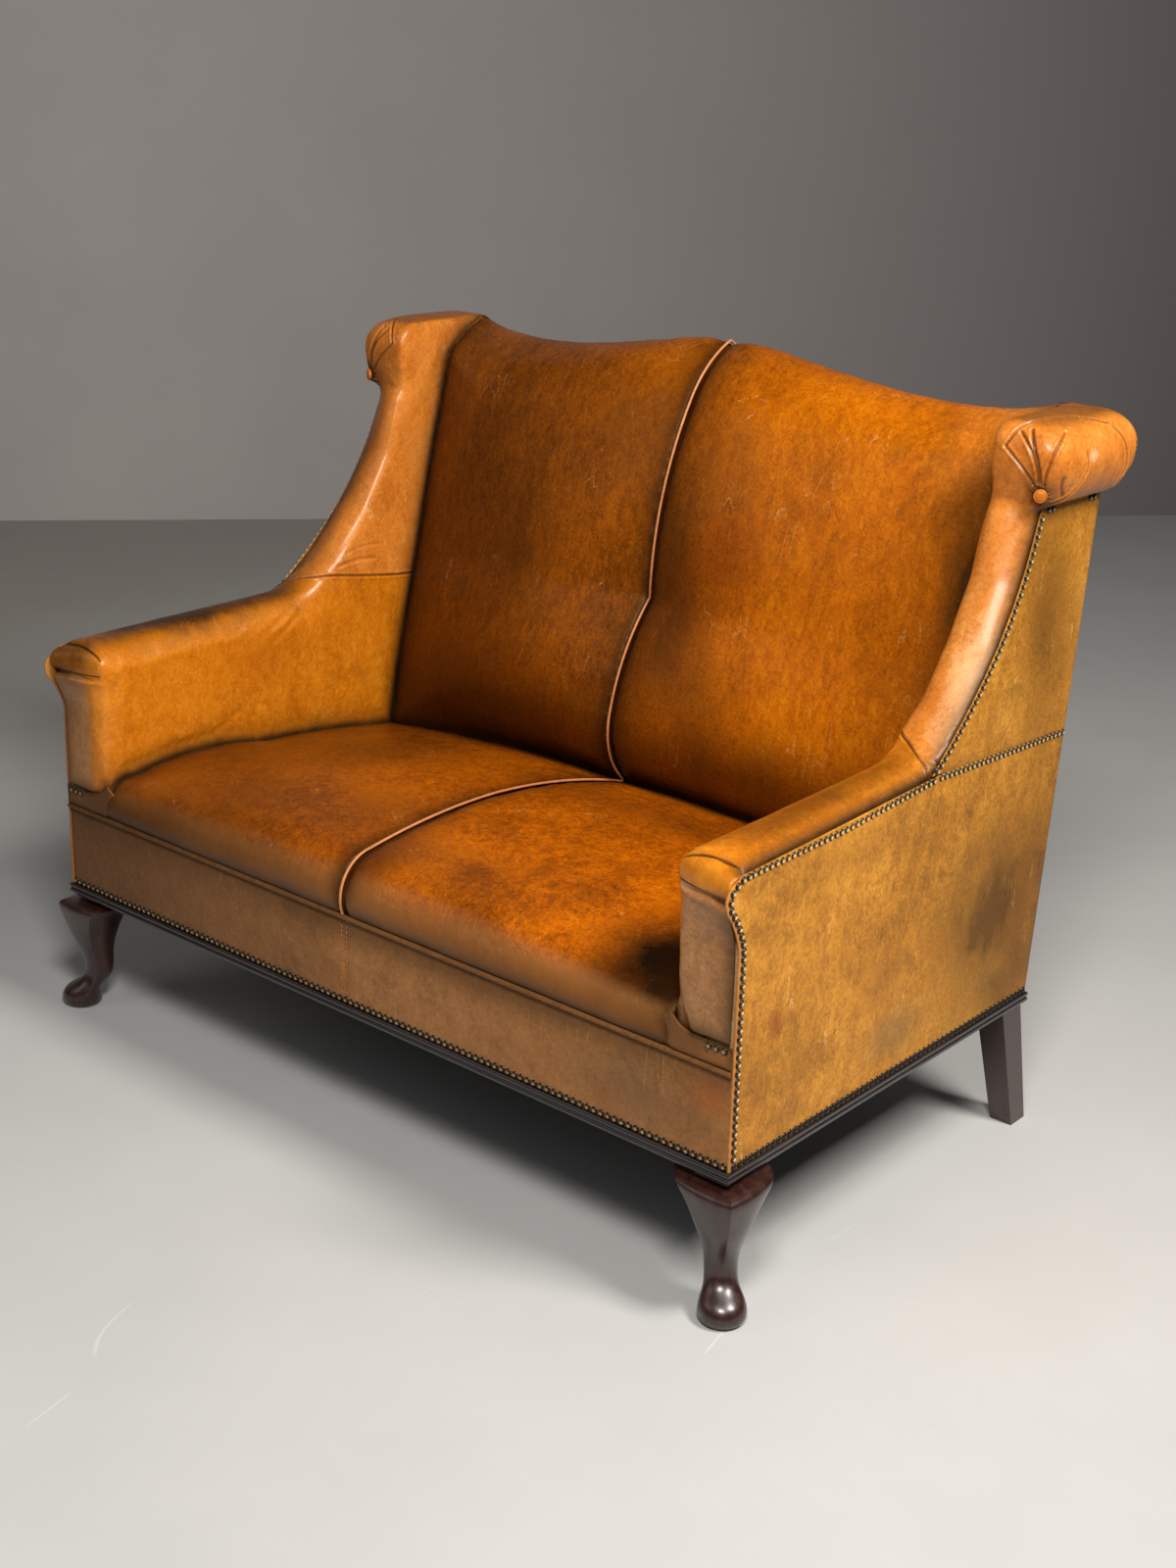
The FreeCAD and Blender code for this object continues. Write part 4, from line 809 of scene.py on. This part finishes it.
wingSeam = ((0.6465, -0.003, 0.6165), (0.6246, 0.001, 0.6345), (0.6145, 0.0041, 0.639), (0.6036, 0.0097, 0.6441),
            (0.5895, 0.0188, 0.6485), (0.5728, 0.0299, 0.6497), (0.5564, 0.0542, 0.6497), (0.557, 0.0991, 0.6417),
            (0.557, 0.1443, 0.6347), (0.557, 0.1904, 0.6275), (0.557, 0.2232, 0.6235), (0.557, 0.26, 0.6205))
armFolds = (
    seam(0.0024, 0.0014, 0.0007, 0.0045, 1.0, line=wingSeam),
    seam(0.0018, 0.0012, dirt=1.0, cut=(1, -0.4187, (0.56, -0.43, 0.585), (0.66, -0.4, 0.64))),
    seam(0.0018, 0.0012, dirt=0.95, cut=(2, 0.5735, (0.561, -0.47, 0.56), (0.66, -0.42, 0.585))),
    seam(0.0011, 0.003, 0.0004, 0.006, 0.1, line=((0.557, 0.07, 0.662), (0.557, 0.11, 0.668), (0.557, 0.15, 0.664))),
    seam(0.0009, 0.003, dirt=0.08, line=((0.557, 0.09, 0.682), (0.557, 0.13, 0.69), (0.557, 0.17, 0.686))),
)


def wingDyeShare(points, outward):  # above the seam the leather is another piece
    line = np.array(wingSeam)
    byWidth = np.interp(points[:, 0], line[:7, 0][::-1], line[:7, 1][::-1])
    byDepth = np.interp(points[:, 1], line[6:, 1], line[6:, 2])
    higher = (points[:, 2] > byDepth) | ((points[:, 1] < line[6, 1]) & (points[:, 2] > 0.6))
    return np.where((points[:, 1] > byWidth) & higher, 1.0, 0.0)


def frontDyeShare(points, outward):  # the front face of the arm, below its nose
    inward = above(outward[:, 0], -0.35, -0.3)
    return (1 - inward) * above(points[:, 1], -0.405, -0.008) * (points[:, 2] < 0.5735)


noseReach = ((0.51, 0.0), (0.529, 0.005), (0.549, 0.014), (0.565, 0.022), (0.5715, 0.024))
noseLook = {
    "seam": -0.4187, "inner": 0.557, "outer": 0.652, "foot": 0.5663, "least": 0.0075, "most": 0.0235,
    "depth": 0.019, "deeper": 0.008, "widest": 0.6532, "swell": 0.005, "swellAt": (-0.4, 0.47),
    "flat": ((0.55, 0.0, 0.575), (0.6, 0.3, 0.69)),
}


def shapeArm(points, outward):  # the front sweeps forward to the nose, most at its outer end
    points = points.copy()
    across = above(points[:, 0], noseLook["inner"], noseLook["outer"] - noseLook["inner"])
    front = points[:, 1] < noseLook["seam"]
    nose = front & (points[:, 2] > noseLook["foot"])
    stood = noseLook["depth"] + noseLook["deeper"] * np.clip(across * 2, 0, 1)
    ratio = (noseLook["least"] + noseLook["most"] * across) / stood
    lower = np.interp(points[:, 2], *zip(*noseReach)) * across
    points[nose, 1] = noseLook["seam"] + ((points[:, 1] - noseLook["seam"]) * ratio)[nose]
    points[front & ~nose, 1] -= lower[front & ~nose]
    points[front, 0] = np.minimum(points[front, 0], noseLook["widest"])
    y, z = noseLook["swellAt"]
    bulge = np.exp(-((points[:, 1] - y) / 0.05) ** 2) * above(points[:, 2], z, 0.05)
    points[:, 0] -= noseLook["swell"] * bulge * np.clip(-outward[:, 0], 0, 1)
    low, high = noseLook["flat"]
    flush = above(points[:, 1], 0.02, 0.08) * above(outward[:, 0], -0.1, -0.3)
    flush *= within(points, low, high) * above(points[:, 2], high[2], -0.06)
    points[:, 0] += (noseLook["inner"] - points[:, 0]) * flush
    return points


armPad = {
    **padLook, "finish": "arm", "voxel": 0.0046, "ripple": (0.07, 0.0008), "hold": 0.0025, "ease": 0.025,
    # the top-shade entry paints shade on the up-facing tops of the arms
    "cap": 0.004, "shape": shapeArm, "folds": armFolds + scrollFolds, "paintedTopShade": (0.75, -0.43), "shadeReach": 0.018,
    "paint": {"wing": wingDyeShare, "front": frontDyeShare},
    "bridge": {
        "x": (0.562, 0.6405), "y": (-0.045, 0.045), "steep": 0.81, "thick": 0.018,
        "tops": ((0.562, 0.6165), (0.565, 0.6194), (0.58, 0.6295), (0.6, 0.632), (0.62, 0.6274), (0.635, 0.6192),
                 (0.642, 0.6138)),
    },
    "rounder": (  # boxes, with the smoothing passes and how far from wood they act
        ((0.5, -0.47, 0.41), (0.62, -0.385, 0.64), 14, 0.0012), ((0.55, -0.13, 0.575), (0.7, 0.12, 0.73), 14, 0.003),
        ((0.5, 0.18, 0.9), (0.7, 0.45, 0.97), 14, 0.004), ((0.55, 0.0, 0.62), (0.7, 0.3, 0.94), 12, 0.004),
    ),
}
for kind, look in (("seat", seatPad), ("back", backPad)):
    for hand, side in (("Right", 1), ("Left", -1)):
        makePad(f"{kind}Pad{hand}", (f"{kind}_cover_{hand.lower()}", kind + "_stuffing"), look, side)
armNodes = ("inside_arm", "arm_nose", "arm_front_panel", "inside_wing", "scroll")
rightArm = makePad("armRight", tuple(node + "_right" for node in armNodes), armPad)
leftArm = otherHand(rightArm, "armLeft", tuple(node + "_left" for node in armNodes), armPad)
print("pads made")


# Flat leather, nailed round its edges

def makeSheet(name, place, outward, look, stands):
    work = bmesh.new()
    bmesh.ops.create_grid(work, x_segments=look["across"], y_segments=look["up"], size=0.5)
    fromEdge = []
    for v in work.verts:
        across, up = v.co.x + 0.5, v.co.y + 0.5
        spot, width, height = place(across, up)
        fromEdge.append(across * width)
        edge = min(across * width, (1 - across) * width, up * height, (1 - up) * height)
        full = 1 - math.exp(-edge / look["edge"])
        wave = noise.noise(spot * (1 / look["waves"])) * look["wave"]
        v.co = spot + Vector(outward) * (full * (look["bulge"] + wave) - look["sink"] * (1 - full))
    work.normal_update()
    if next(iter(work.faces)).normal.dot(Vector(outward)) < 0:
        bmesh.ops.reverse_faces(work, faces=work.faces)
    mesh = meshFrom(work, name)
    paintValue(mesh, "wear", (np.array(fromEdge) < look.get("turned", 0)) * 1.0)
    piece = addPiece(name, mesh, look["finish"], stands)
    wall = piece.modifiers.new("thickness", "SOLIDIFY")
    wall.thickness, wall.offset = look["thick"], -1
    rim = piece.modifiers.new("rim", "BEVEL")
    rim.width, rim.segments, rim.limit_method = look["rim"], 2, "ANGLE"
    print("sheet", name)


sheetLook = {
    "across": 40, "up": 36, "edge": 0.03, "bulge": 0.0012, "wave": 0.0008, "waves": 0.09, "sink": 0.0002,
    "thick": 0.0022, "rim": 0.0007, "finish": "ochre", "slot": "leather_ochre",
}
noseEdge = ((0.505, 0.0), (0.517, 0.0025), (0.529, 0.007), (0.549, 0.017), (0.562, 0.027), (0.571, 0.0305),
            (0.581, 0.0305), (0.589, 0.026), (0.595, 0.0165), (0.6, 0.007), (0.605, 0.0))
middleRow = {"front": 0.6048, "rise": 0.009, "knee": 0.6138, "fall": 0.0179, "under": 0.0014}


def lowerSide(side):
    def place(across, up):
        foot, back, knee = body["frontFace"], rearY(body["mouldingTop"]), body["wingFoot"]
        y = foot + (back - foot) * across
        top = middleRow["front"] + middleRow["rise"] * min((y - foot) / (knee - foot), 1.0)
        if y > knee:
            top = middleRow["knee"] - middleRow["fall"] * (y - knee) / (rearY(0.6) - knee)
        z = body["mouldingTop"] + (top - body["mouldingTop"]) * (1 - (1 - up) ** 1.7)
        foot -= middleRow["under"] + float(np.interp(z, *zip(*noseEdge)))
        y = foot + (rearY(z) - foot) * across
        return Vector((side * sideX(y, z), y, z)), 0.72, 0.39
    return place


wingEdge = {
    "levels": (0.614, 0.684, 0.757, 0.838, 0.935), "places": (0.00481, 0.08777, 0.15609, 0.20855, 0.24881),
    "front": 0.6153, "rear": 0.5963, "under": 0.0038,
}


def upperSide(side):
    def place(across, up):
        front, rear = (wingEdge[key] + (body["scrollFoot"] - wingEdge[key]) * up for key in ("front", "rear"))
        levels, places = wingEdge["levels"], wingEdge["places"]
        nail = float(np.interp(front, levels, places))
        smooth = sum(float(np.interp(front + step, levels, places)) for step in (-0.03, -0.015, 0, 0.015, 0.03)) / 5
        nail = smooth if 0.65 < front < 0.9 else nail
        a, b = Vector((0, nail - wingEdge["under"], front)), Vector((0, rearY(rear), rear))
        spot = a.lerp(b, across)
        return Vector((side * sideX(spot.y, spot.z), spot.y, spot.z)), b.y - a.y, 0.33
    return place


def wholeBack(across, up):
    z = body["mouldingTop"] + (body["scrollFoot"] - body["mouldingTop"]) * up
    half = sideX(body["wingFoot"], z) - 0.0025
    return Vector((half * (2 * across - 1), rearY(z), z)), 2 * half, 0.724


for side, hand in ((1, "Right"), (-1, "Left")):
    tail = "_" + hand.lower()
    makeSheet("outsideArm" + hand, lowerSide(side), (side, 0, 0), {**sheetLook, "up": 56, "turned": 0.0042},
              ("outside_arm" + tail,))
    makeSheet("outsideWing" + hand, upperSide(side), (side, 0, 0), sheetLook, ("outside_wing" + tail,))
makeSheet("outsideBack", wholeBack, (0, 1, -body["backRake"]), {**sheetLook, "across": 60}, ("outside_back",))


def borderPanel(side):
    def place(across, up):
        z = body["mouldingTop"] + (borderLook["top"] - body["mouldingTop"]) * up
        outer = side * (sideX(body["frontFace"], z) - body["skin"])
        x = body["seam"] + (outer - body["seam"]) * across
        return Vector((x, body["frontFace"], z)), abs(outer - body["seam"]), 0.129
    return place


borderLook = {
    **sheetLook, "across": 60, "up": 14, "finish": "front", "slot": "leather_tan", "edge": 0.012, "sink": 0.0006,
    "top": 0.3397,
}
for name, side, flat in (("borderRight", 1, (0.7, 0.14)), ("borderLeft", -1, (0.65, 0.14))):
    makeSheet(name, borderPanel(side), (0, -1, 0), borderLook, ("front_border",))


underLook = {
    **sheetLook, "finish": "underCloth", "slot": "canvas", "thick": 0.001, "bulge": 0.0, "wave": 0.0, "sink": 0.0,
    "rim": 0.0002, "level": 0.1969, "margin": 0.005, "rear": 0.2866, "leg": 0.054, "frontLeg": 0.056,
}


def underneath(across, up):  # its corners are cut round the legs
    half = sideX(body["wingFoot"], underLook["level"]) - underLook["margin"]
    front, rear = body["frontFace"] + underLook["margin"], underLook["rear"]
    y = front + (rear - front) * up
    cut = underLook["leg"] if y < front + underLook["frontLeg"] or y > rear - underLook["leg"] else 0.0
    x = max(-half + cut, min(half - cut, half * (2 * across - 1)))
    return Vector((x, y, underLook["level"])), 2 * half, rear - front


makeSheet("underCloth", underneath, (0, 0, -1), underLook, ("bottom_cloth",))
print("flat leather made")


# Piping and the welt, as tubes along their lines

def arcPoints(a, middle, b, count=12):
    u, v = middle - a, b - a
    across = u.cross(v)
    centre = a + (across.cross(u) * v.length_squared + v.cross(across) * u.length_squared) / (2 * across.length_squared)
    first, last = a - centre, b - centre
    turn = first.angle(last)
    if (middle - centre).dot(first + last) < 0:
        turn = 2 * math.pi - turn
    return [centre + Matrix.Rotation(turn * i / count, 3, across) @ first for i in range(count)]


def chainPoints(chain):  # lines and arcs in the plane of the seam
    spots, points, at = [Vector((body["seam"], *row[:2])) for row in chain], [], 0
    while at < len(chain) - 1:
        if len(chain[at + 1]) == 3:
            points += arcPoints(*spots[at:at + 3])
            at += 2
        else:
            points += [spots[at].lerp(spots[at + 1], i / 3) for i in range(3)]
            at += 1
    return points + [spots[-1]]


def makeTube(name, points, radius, finish, stands, sides=10):
    line = bpy.data.curves.new(name, "CURVE")
    line.dimensions = "3D"
    spline = line.splines.new("POLY")
    spline.points.add(len(points) - 1)
    for at, point in zip(spline.points, points):
        at.co = (*point, 1)
    line.bevel_depth, line.bevel_resolution, line.use_fill_caps = radius, sides // 4, True
    holder = linked(name, line)
    mesh = namedMesh(holder, name)
    bpy.data.objects.remove(holder)
    addPiece(name, mesh, finish, stands)


pipingLines = {
    "radius": 0.0021,
    "seat": ((-0.42492, 0.349), (-0.42369, 0.397, "arc"), (-0.37093, 0.433), (-0.24946, 0.4475, "arc"),
             (-0.11387, 0.449), (0.04809, 0.427, "arc"), (0.18061, 0.392)),
    "back": ((0.18279, 0.395), (0.14786, 0.444, "arc"), (0.14504, 0.522), (0.18117, 0.6156, "arc"), (0.23225, 0.68424),
             (0.24639, 0.81528, "arc"), (0.31762, 0.99), (0.35683, 1.03484, "arc"), (0.40881, 1.066),
             (0.44881, 1.002, "arc"), (0.40979, 0.938)),
}
for key in ("seat", "back"):
    makeTube(key + "Piping", chainPoints(pipingLines[key]), pipingLines["radius"], "piping",
             (key + "_piping",))
weltLook = {"radius": 0.0039, "half": 0.6532, "y": -0.42269, "z": 0.344, "steps": 60}
weltPoints = [Vector((weltLook["half"] * (2 * i / weltLook["steps"] - 1), weltLook["y"], weltLook["z"]))
              for i in range(weltLook["steps"] + 1)]
makeTube("frontWelt", weltPoints, weltLook["radius"], "front", ("front_welt",), 12)

# The covered buttons on the scrolls
buttonLook = {
    "centre": (0.6375, 0.22331, 0.955), "turn": (0.55, -1, 0), "lift": 0.0043, "radius": 0.0095, "rise": 0.0048,
}


def buttonMesh(name):
    work = bmesh.new()
    bmesh.ops.create_uvsphere(work, u_segments=32, v_segments=32, radius=1.0)
    direction = Vector(buttonLook["turn"]).normalized()
    for v in work.verts:  # a flat top with a pressed ring
        across = math.hypot(v.co.x, v.co.y)
        flat = max(v.co.z, 0.0) ** 0.45 * buttonLook["rise"] - 0.0007 * math.exp(-((across - 0.72) / 0.1) ** 2)
        height = flat if v.co.z > 0 else v.co.z * 0.003
        v.co = Vector((v.co.x * buttonLook["radius"], v.co.y * buttonLook["radius"], height))
    turn = direction.to_track_quat("Z", "Y").to_matrix().to_4x4()
    middle = Matrix.Translation(Vector(buttonLook["centre"]) + direction * buttonLook["lift"])
    bmesh.ops.transform(work, matrix=middle @ turn, verts=work.verts)
    bmesh.ops.scale(work, vec=(-1, 1, 1), verts=copied(work, work.verts[:] + work.edges[:] + work.faces[:]))
    bmesh.ops.recalc_face_normals(work, faces=work.faces)
    return meshFrom(work, name)


addPiece("scrollButtons", buttonMesh("scrollButtons"), "button", ("scroll_buttons",))

# Stitches beside the border's middle seam and along the scrolls' rear bands
stitchLook = {
    "long": 0.0046, "wide": 0.0011, "high": 0.0009, "pitch": 0.0072, "seamHalf": 0.0052,
    "band": ((0.6705, 0.425, 1.006), (0.6705, 0.425, 0.99), (0.668, 0.425, 0.972), (0.66, 0.425, 0.955),
             (0.645, 0.425, 0.946)),
}


def lineLengths(line):
    return np.cumsum([0] + [(b - a).length for a, b in zip(line, line[1:])])


def placesAlong(line, steps):  # the points at some lengths along a line
    lengths = lineLengths(line)
    return [Vector([float(np.interp(t, lengths, [p[i] for p in line])) for i in range(3)]) for t in steps]


def evenly(line, pitch):  # points and directions at even steps along a line
    places = placesAlong(line, np.arange(0, lineLengths(line)[-1], pitch))
    return [(a, (b - a).normalized()) for a, b in zip(places, places[1:])]


def makeStitches(name, finish, places):
    work = bmesh.new()
    for spot, along, outward in places:
        side = outward.cross(along).normalized()
        turn = Matrix((along, side, outward.normalized())).transposed().to_4x4()
        scale = Matrix.Diagonal((stitchLook["long"], stitchLook["wide"], stitchLook["high"], 1))
        bmesh.ops.create_cube(work, size=1, matrix=Matrix.Translation(spot) @ turn @ scale)
    bmesh.ops.bevel(work, geom=work.edges[:], offset=0.0003, segments=1, affect="EDGES")
    addPiece(name, meshFrom(work, name), finish)


def scrollStitches(pad, side):
    tree, places = surfaceTree(pad.data), []
    for spot, along in evenly([Vector(p) * Vector((side, 1, 1)) for p in stitchLook["band"]], stitchLook["pitch"]):
        near, facing, face, away = tree.find_nearest(spot)
        places.append((near + facing * 0.0002, (along - facing * along.dot(facing)).normalized(), facing))
    return places


seamStitches = [
    (Vector((body["seam"] + side * stitchLook["seamHalf"], body["frontFace"] - 0.0012, z)), Vector((0, 0, 1)),
     Vector((0, -1, 0))) for side in (-1, 1) for z in np.arange(0.228, 0.334, stitchLook["pitch"])
]
makeStitches("borderStitches", "piping", seamStitches)
makeStitches("scrollStitches", "leg", scrollStitches(rightArm, 1) + scrollStitches(leftArm, -1))
print("piping and buttons made")

# The CAD nodes that stay, with their finishes
carried = {
    "front_leg_left": "leg", "front_leg_right": "leg", "rear_post_left": "leg", "rear_post_right": "leg",
    "base_moulding": "moulding", "arm_nails": "sideNails", "wing_nails": "sideNails", "middle_nails": "sideNails",
    "base_nails": "frontNails", "panel_nails": "frontNails", "back_nails": "frontNails",
    "seat_webbing": "jute", "back_webbing": "uprightJute", "seat_canvas": "canvas", "back_canvas": "uprightCanvas",
    "seat_springs": "steel", "seat_stuffing": "fill", "back_stuffing": "fill",
}
for name, node in nodes.items():
    finish = carried.get(name, "frame")
    node.data.materials.clear()
    node.data.materials.append(finishes[finish])
print("frame painted")

# The arm nails: the frame's own, but round the nose they follow the leather's edge
noseNails = {
    "from": 0.505, "pitch": 0.0112, "pattern": (0.657, -0.4144, 0.4), "front": -0.406, "inset": 0.0066,
    "top": 0.5995, "turned": 0.009,
}


def nailIslands(work):
    seen, islands = set(), []
    for start in work.verts:
        if start in seen:
            continue
        island, queue = [], [start]
        seen.add(start)
        while queue:
            v = queue.pop()
            island.append(v)
            for edge in v.link_edges:
                other = edge.other_vert(v)
                if other not in seen:
                    seen.add(other)
                    queue.append(other)
        islands.append((island, sum((v.co for v in island), Vector()) / len(island)))
    return islands


def nailLine():  # even steps along the nose's edge, in Y and Z
    front, top = body["frontFace"], noseNails["top"]
    corners = [Vector((0, front + noseNails["inset"] - out, min(z, top))) for z, out in noseEdge]
    corners[-1].y = front + noseNails["turned"]
    whole = lineLengths(corners)[-1]
    return placesAlong(corners, np.linspace(0, whole, int(whole / noseNails["pitch"]) + 1))


def makeArmNails():
    work = bmesh.new()
    work.from_mesh(nodes["arm_nails"].data)
    bmesh.ops.remove_doubles(work, verts=work.verts, dist=0.00002)
    islands = nailIslands(work)
    for side in (1, -1):
        mine = [i for i in islands if i[1].x * side > 0]
        spot = Vector(noseNails["pattern"]) * Vector((side, 1, 1))
        pattern = min(mine, key=lambda i: (i[1] - spot).length)
        faces = list({f for v in pattern[0] for f in v.link_faces})
        nose = [i for i in mine if i[1].y < noseNails["front"] and i[1].z > noseNails["from"]]
        start = pattern[1]
        for spot in nailLine():
            out = side * (sideX(spot.y, spot.z) - sideX(start.y, start.z))
            shift = Vector((out, spot.y - start.y, spot.z - start.z))
            bmesh.ops.translate(work, verts=copied(work, faces), vec=shift)
        bmesh.ops.delete(work, geom=[v for island in nose for v in island[0]], context="VERTS")
    addPiece("armNails", meshFrom(work, "armNails"), "sideNails", ("arm_nails",))


makeArmNails()
print("arm nails set")

# Floor, backdrop, light and camera
# the shaded ends are painted light falloff on the floor and the wall
room = {"wallStart": (-3.54233, 1.56252), "wallEnd": (-1.15748, 4.31875), "floor": tint(184, 183, 180),
        "floorShadedEnd": tint(160, 155, 148), "wall": tint(184, 178, 174), "wallShadedEnd": tint(104, 98, 97),
        "floorHalf": 12, "wallRun": 10, "wallHigh": 9}


def stageMaterial(name, colour, far, start, width, marks):
    g = Graph(name)
    place = g.place()
    # painted light falloff: the colour darkens along X to the shaded end
    colour = g.mix(g.part(place, "X").above(start, width), colour, far)
    fog = g.noise(place, 2.2, 5, 0.6)
    spots = g.noise(place, 30, 4, 0.7).above(0.7, 0.06)
    shade = g.mix((fog - 0.35).clamped() * 0.3, colour, tint(120, 118, 115))
    shade = g.mix(spots * 0.25, shade, tint(90, 88, 86))
    scratches = abs(g.noise(g.place((1, 0.15, 1), (0, 0, 0.7)), 3.2, 1, 0.4) - 0.5).below(0.0016, 0.0016)
    shade = g.mix(scratches * g.noise(place, 4, 2).above(0.6, 0.04) * marks, shade, tint(238, 236, 232))
    return g.surface({"Base Color": shade, "Roughness": 0.75, "Normal": g.bump(fog, 0.002, 0.2)})


def addStage(name, work, material):
    piece = linked(name, meshFrom(work, name))
    piece.data.materials.append(material)
    return piece


def makeStage():
    work = bmesh.new()
    bmesh.ops.create_grid(work, x_segments=2, y_segments=2, size=room["floorHalf"])
    paint = stageMaterial("floorPaint", room["floor"], room["floorShadedEnd"], -0.9, -1.8, 0.25)
    floor = addStage("floor", work, paint)
    a, b = (Vector((*room[key], 0)) for key in ("wallStart", "wallEnd"))
    run, rise = (b - a).normalized() * room["wallRun"], Vector((0, 0, room["wallHigh"]))
    work = bmesh.new()
    work.faces.new([work.verts.new(p) for p in (a - run, b + run, b + run + rise, a - run + rise)])
    wall = addStage("wall", work, stageMaterial("wallPaint", room["wall"], room["wallShadedEnd"], -3.4, 2.6, 0.0))


def addLight(name, place, target, size, power, colour):
    lamp = bpy.data.lights.new(name, "AREA")
    lamp.shape, lamp.size, lamp.size_y = "RECTANGLE", *size
    lamp.energy, lamp.color = power, colour
    holder = linked(name, lamp)
    holder.location = place
    holder.rotation_euler = (Vector(target) - Vector(place)).to_track_quat("-Z", "Y").to_euler()


lamps = {  # place, target, size, power and colour
    "key": ((2.2, 0.05, 2.85), (0, -0.1, 0.5), (0.7, 0.9), 105, (1.0, 0.97, 0.93)),
    "front": ((1.5, -1.7, 2.7), (0.1, -0.5, 0.3), (0.7, 0.7), 78, (1.0, 0.98, 0.95)),
    "fill": ((-1.5, -2.6, 2.6), (0, 0, 0.3), (2.0, 2.0), 12, (0.95, 0.97, 1.0)),
}


def makeLight():
    for name, lamp in lamps.items():
        addLight(name, *lamp)
    world = bpy.data.worlds.new("studio")
    scene.world = world
    world.use_nodes = True
    sky = world.node_tree.nodes["Background"].inputs
    sky["Color"].default_value, sky["Strength"].default_value = (0.5, 0.52, 0.55, 1), 0.12


lens = {"place": (1.984, -2.28219, 1.538), "yaw": 40.183, "pitch": -19.937, "roll": 1.758, "length": 48.715}


def makeCamera():
    yaw, pitch, roll = (math.radians(lens[key]) for key in ("yaw", "pitch", "roll"))
    look = Vector((-math.sin(yaw) * math.cos(pitch), math.cos(yaw) * math.cos(pitch), math.sin(pitch)))
    level = Vector((math.cos(yaw), math.sin(yaw), 0))
    rise = level.cross(look)
    right = level * math.cos(roll) + rise * math.sin(roll)
    up = rise * math.cos(roll) - level * math.sin(roll)
    turn = Matrix((right, up, -look)).transposed().to_4x4()
    camera = linked("camera", bpy.data.cameras.new("camera"))
    camera.data.lens, camera.data.sensor_width, camera.data.sensor_fit = lens["length"], 36, "AUTO"
    camera.matrix_world = Matrix.Translation(Vector(lens["place"])) @ turn
    scene.camera = camera


scene.view_settings.view_transform = "Standard"
makeStage()
makeLight()
makeCamera()
print("stage made")
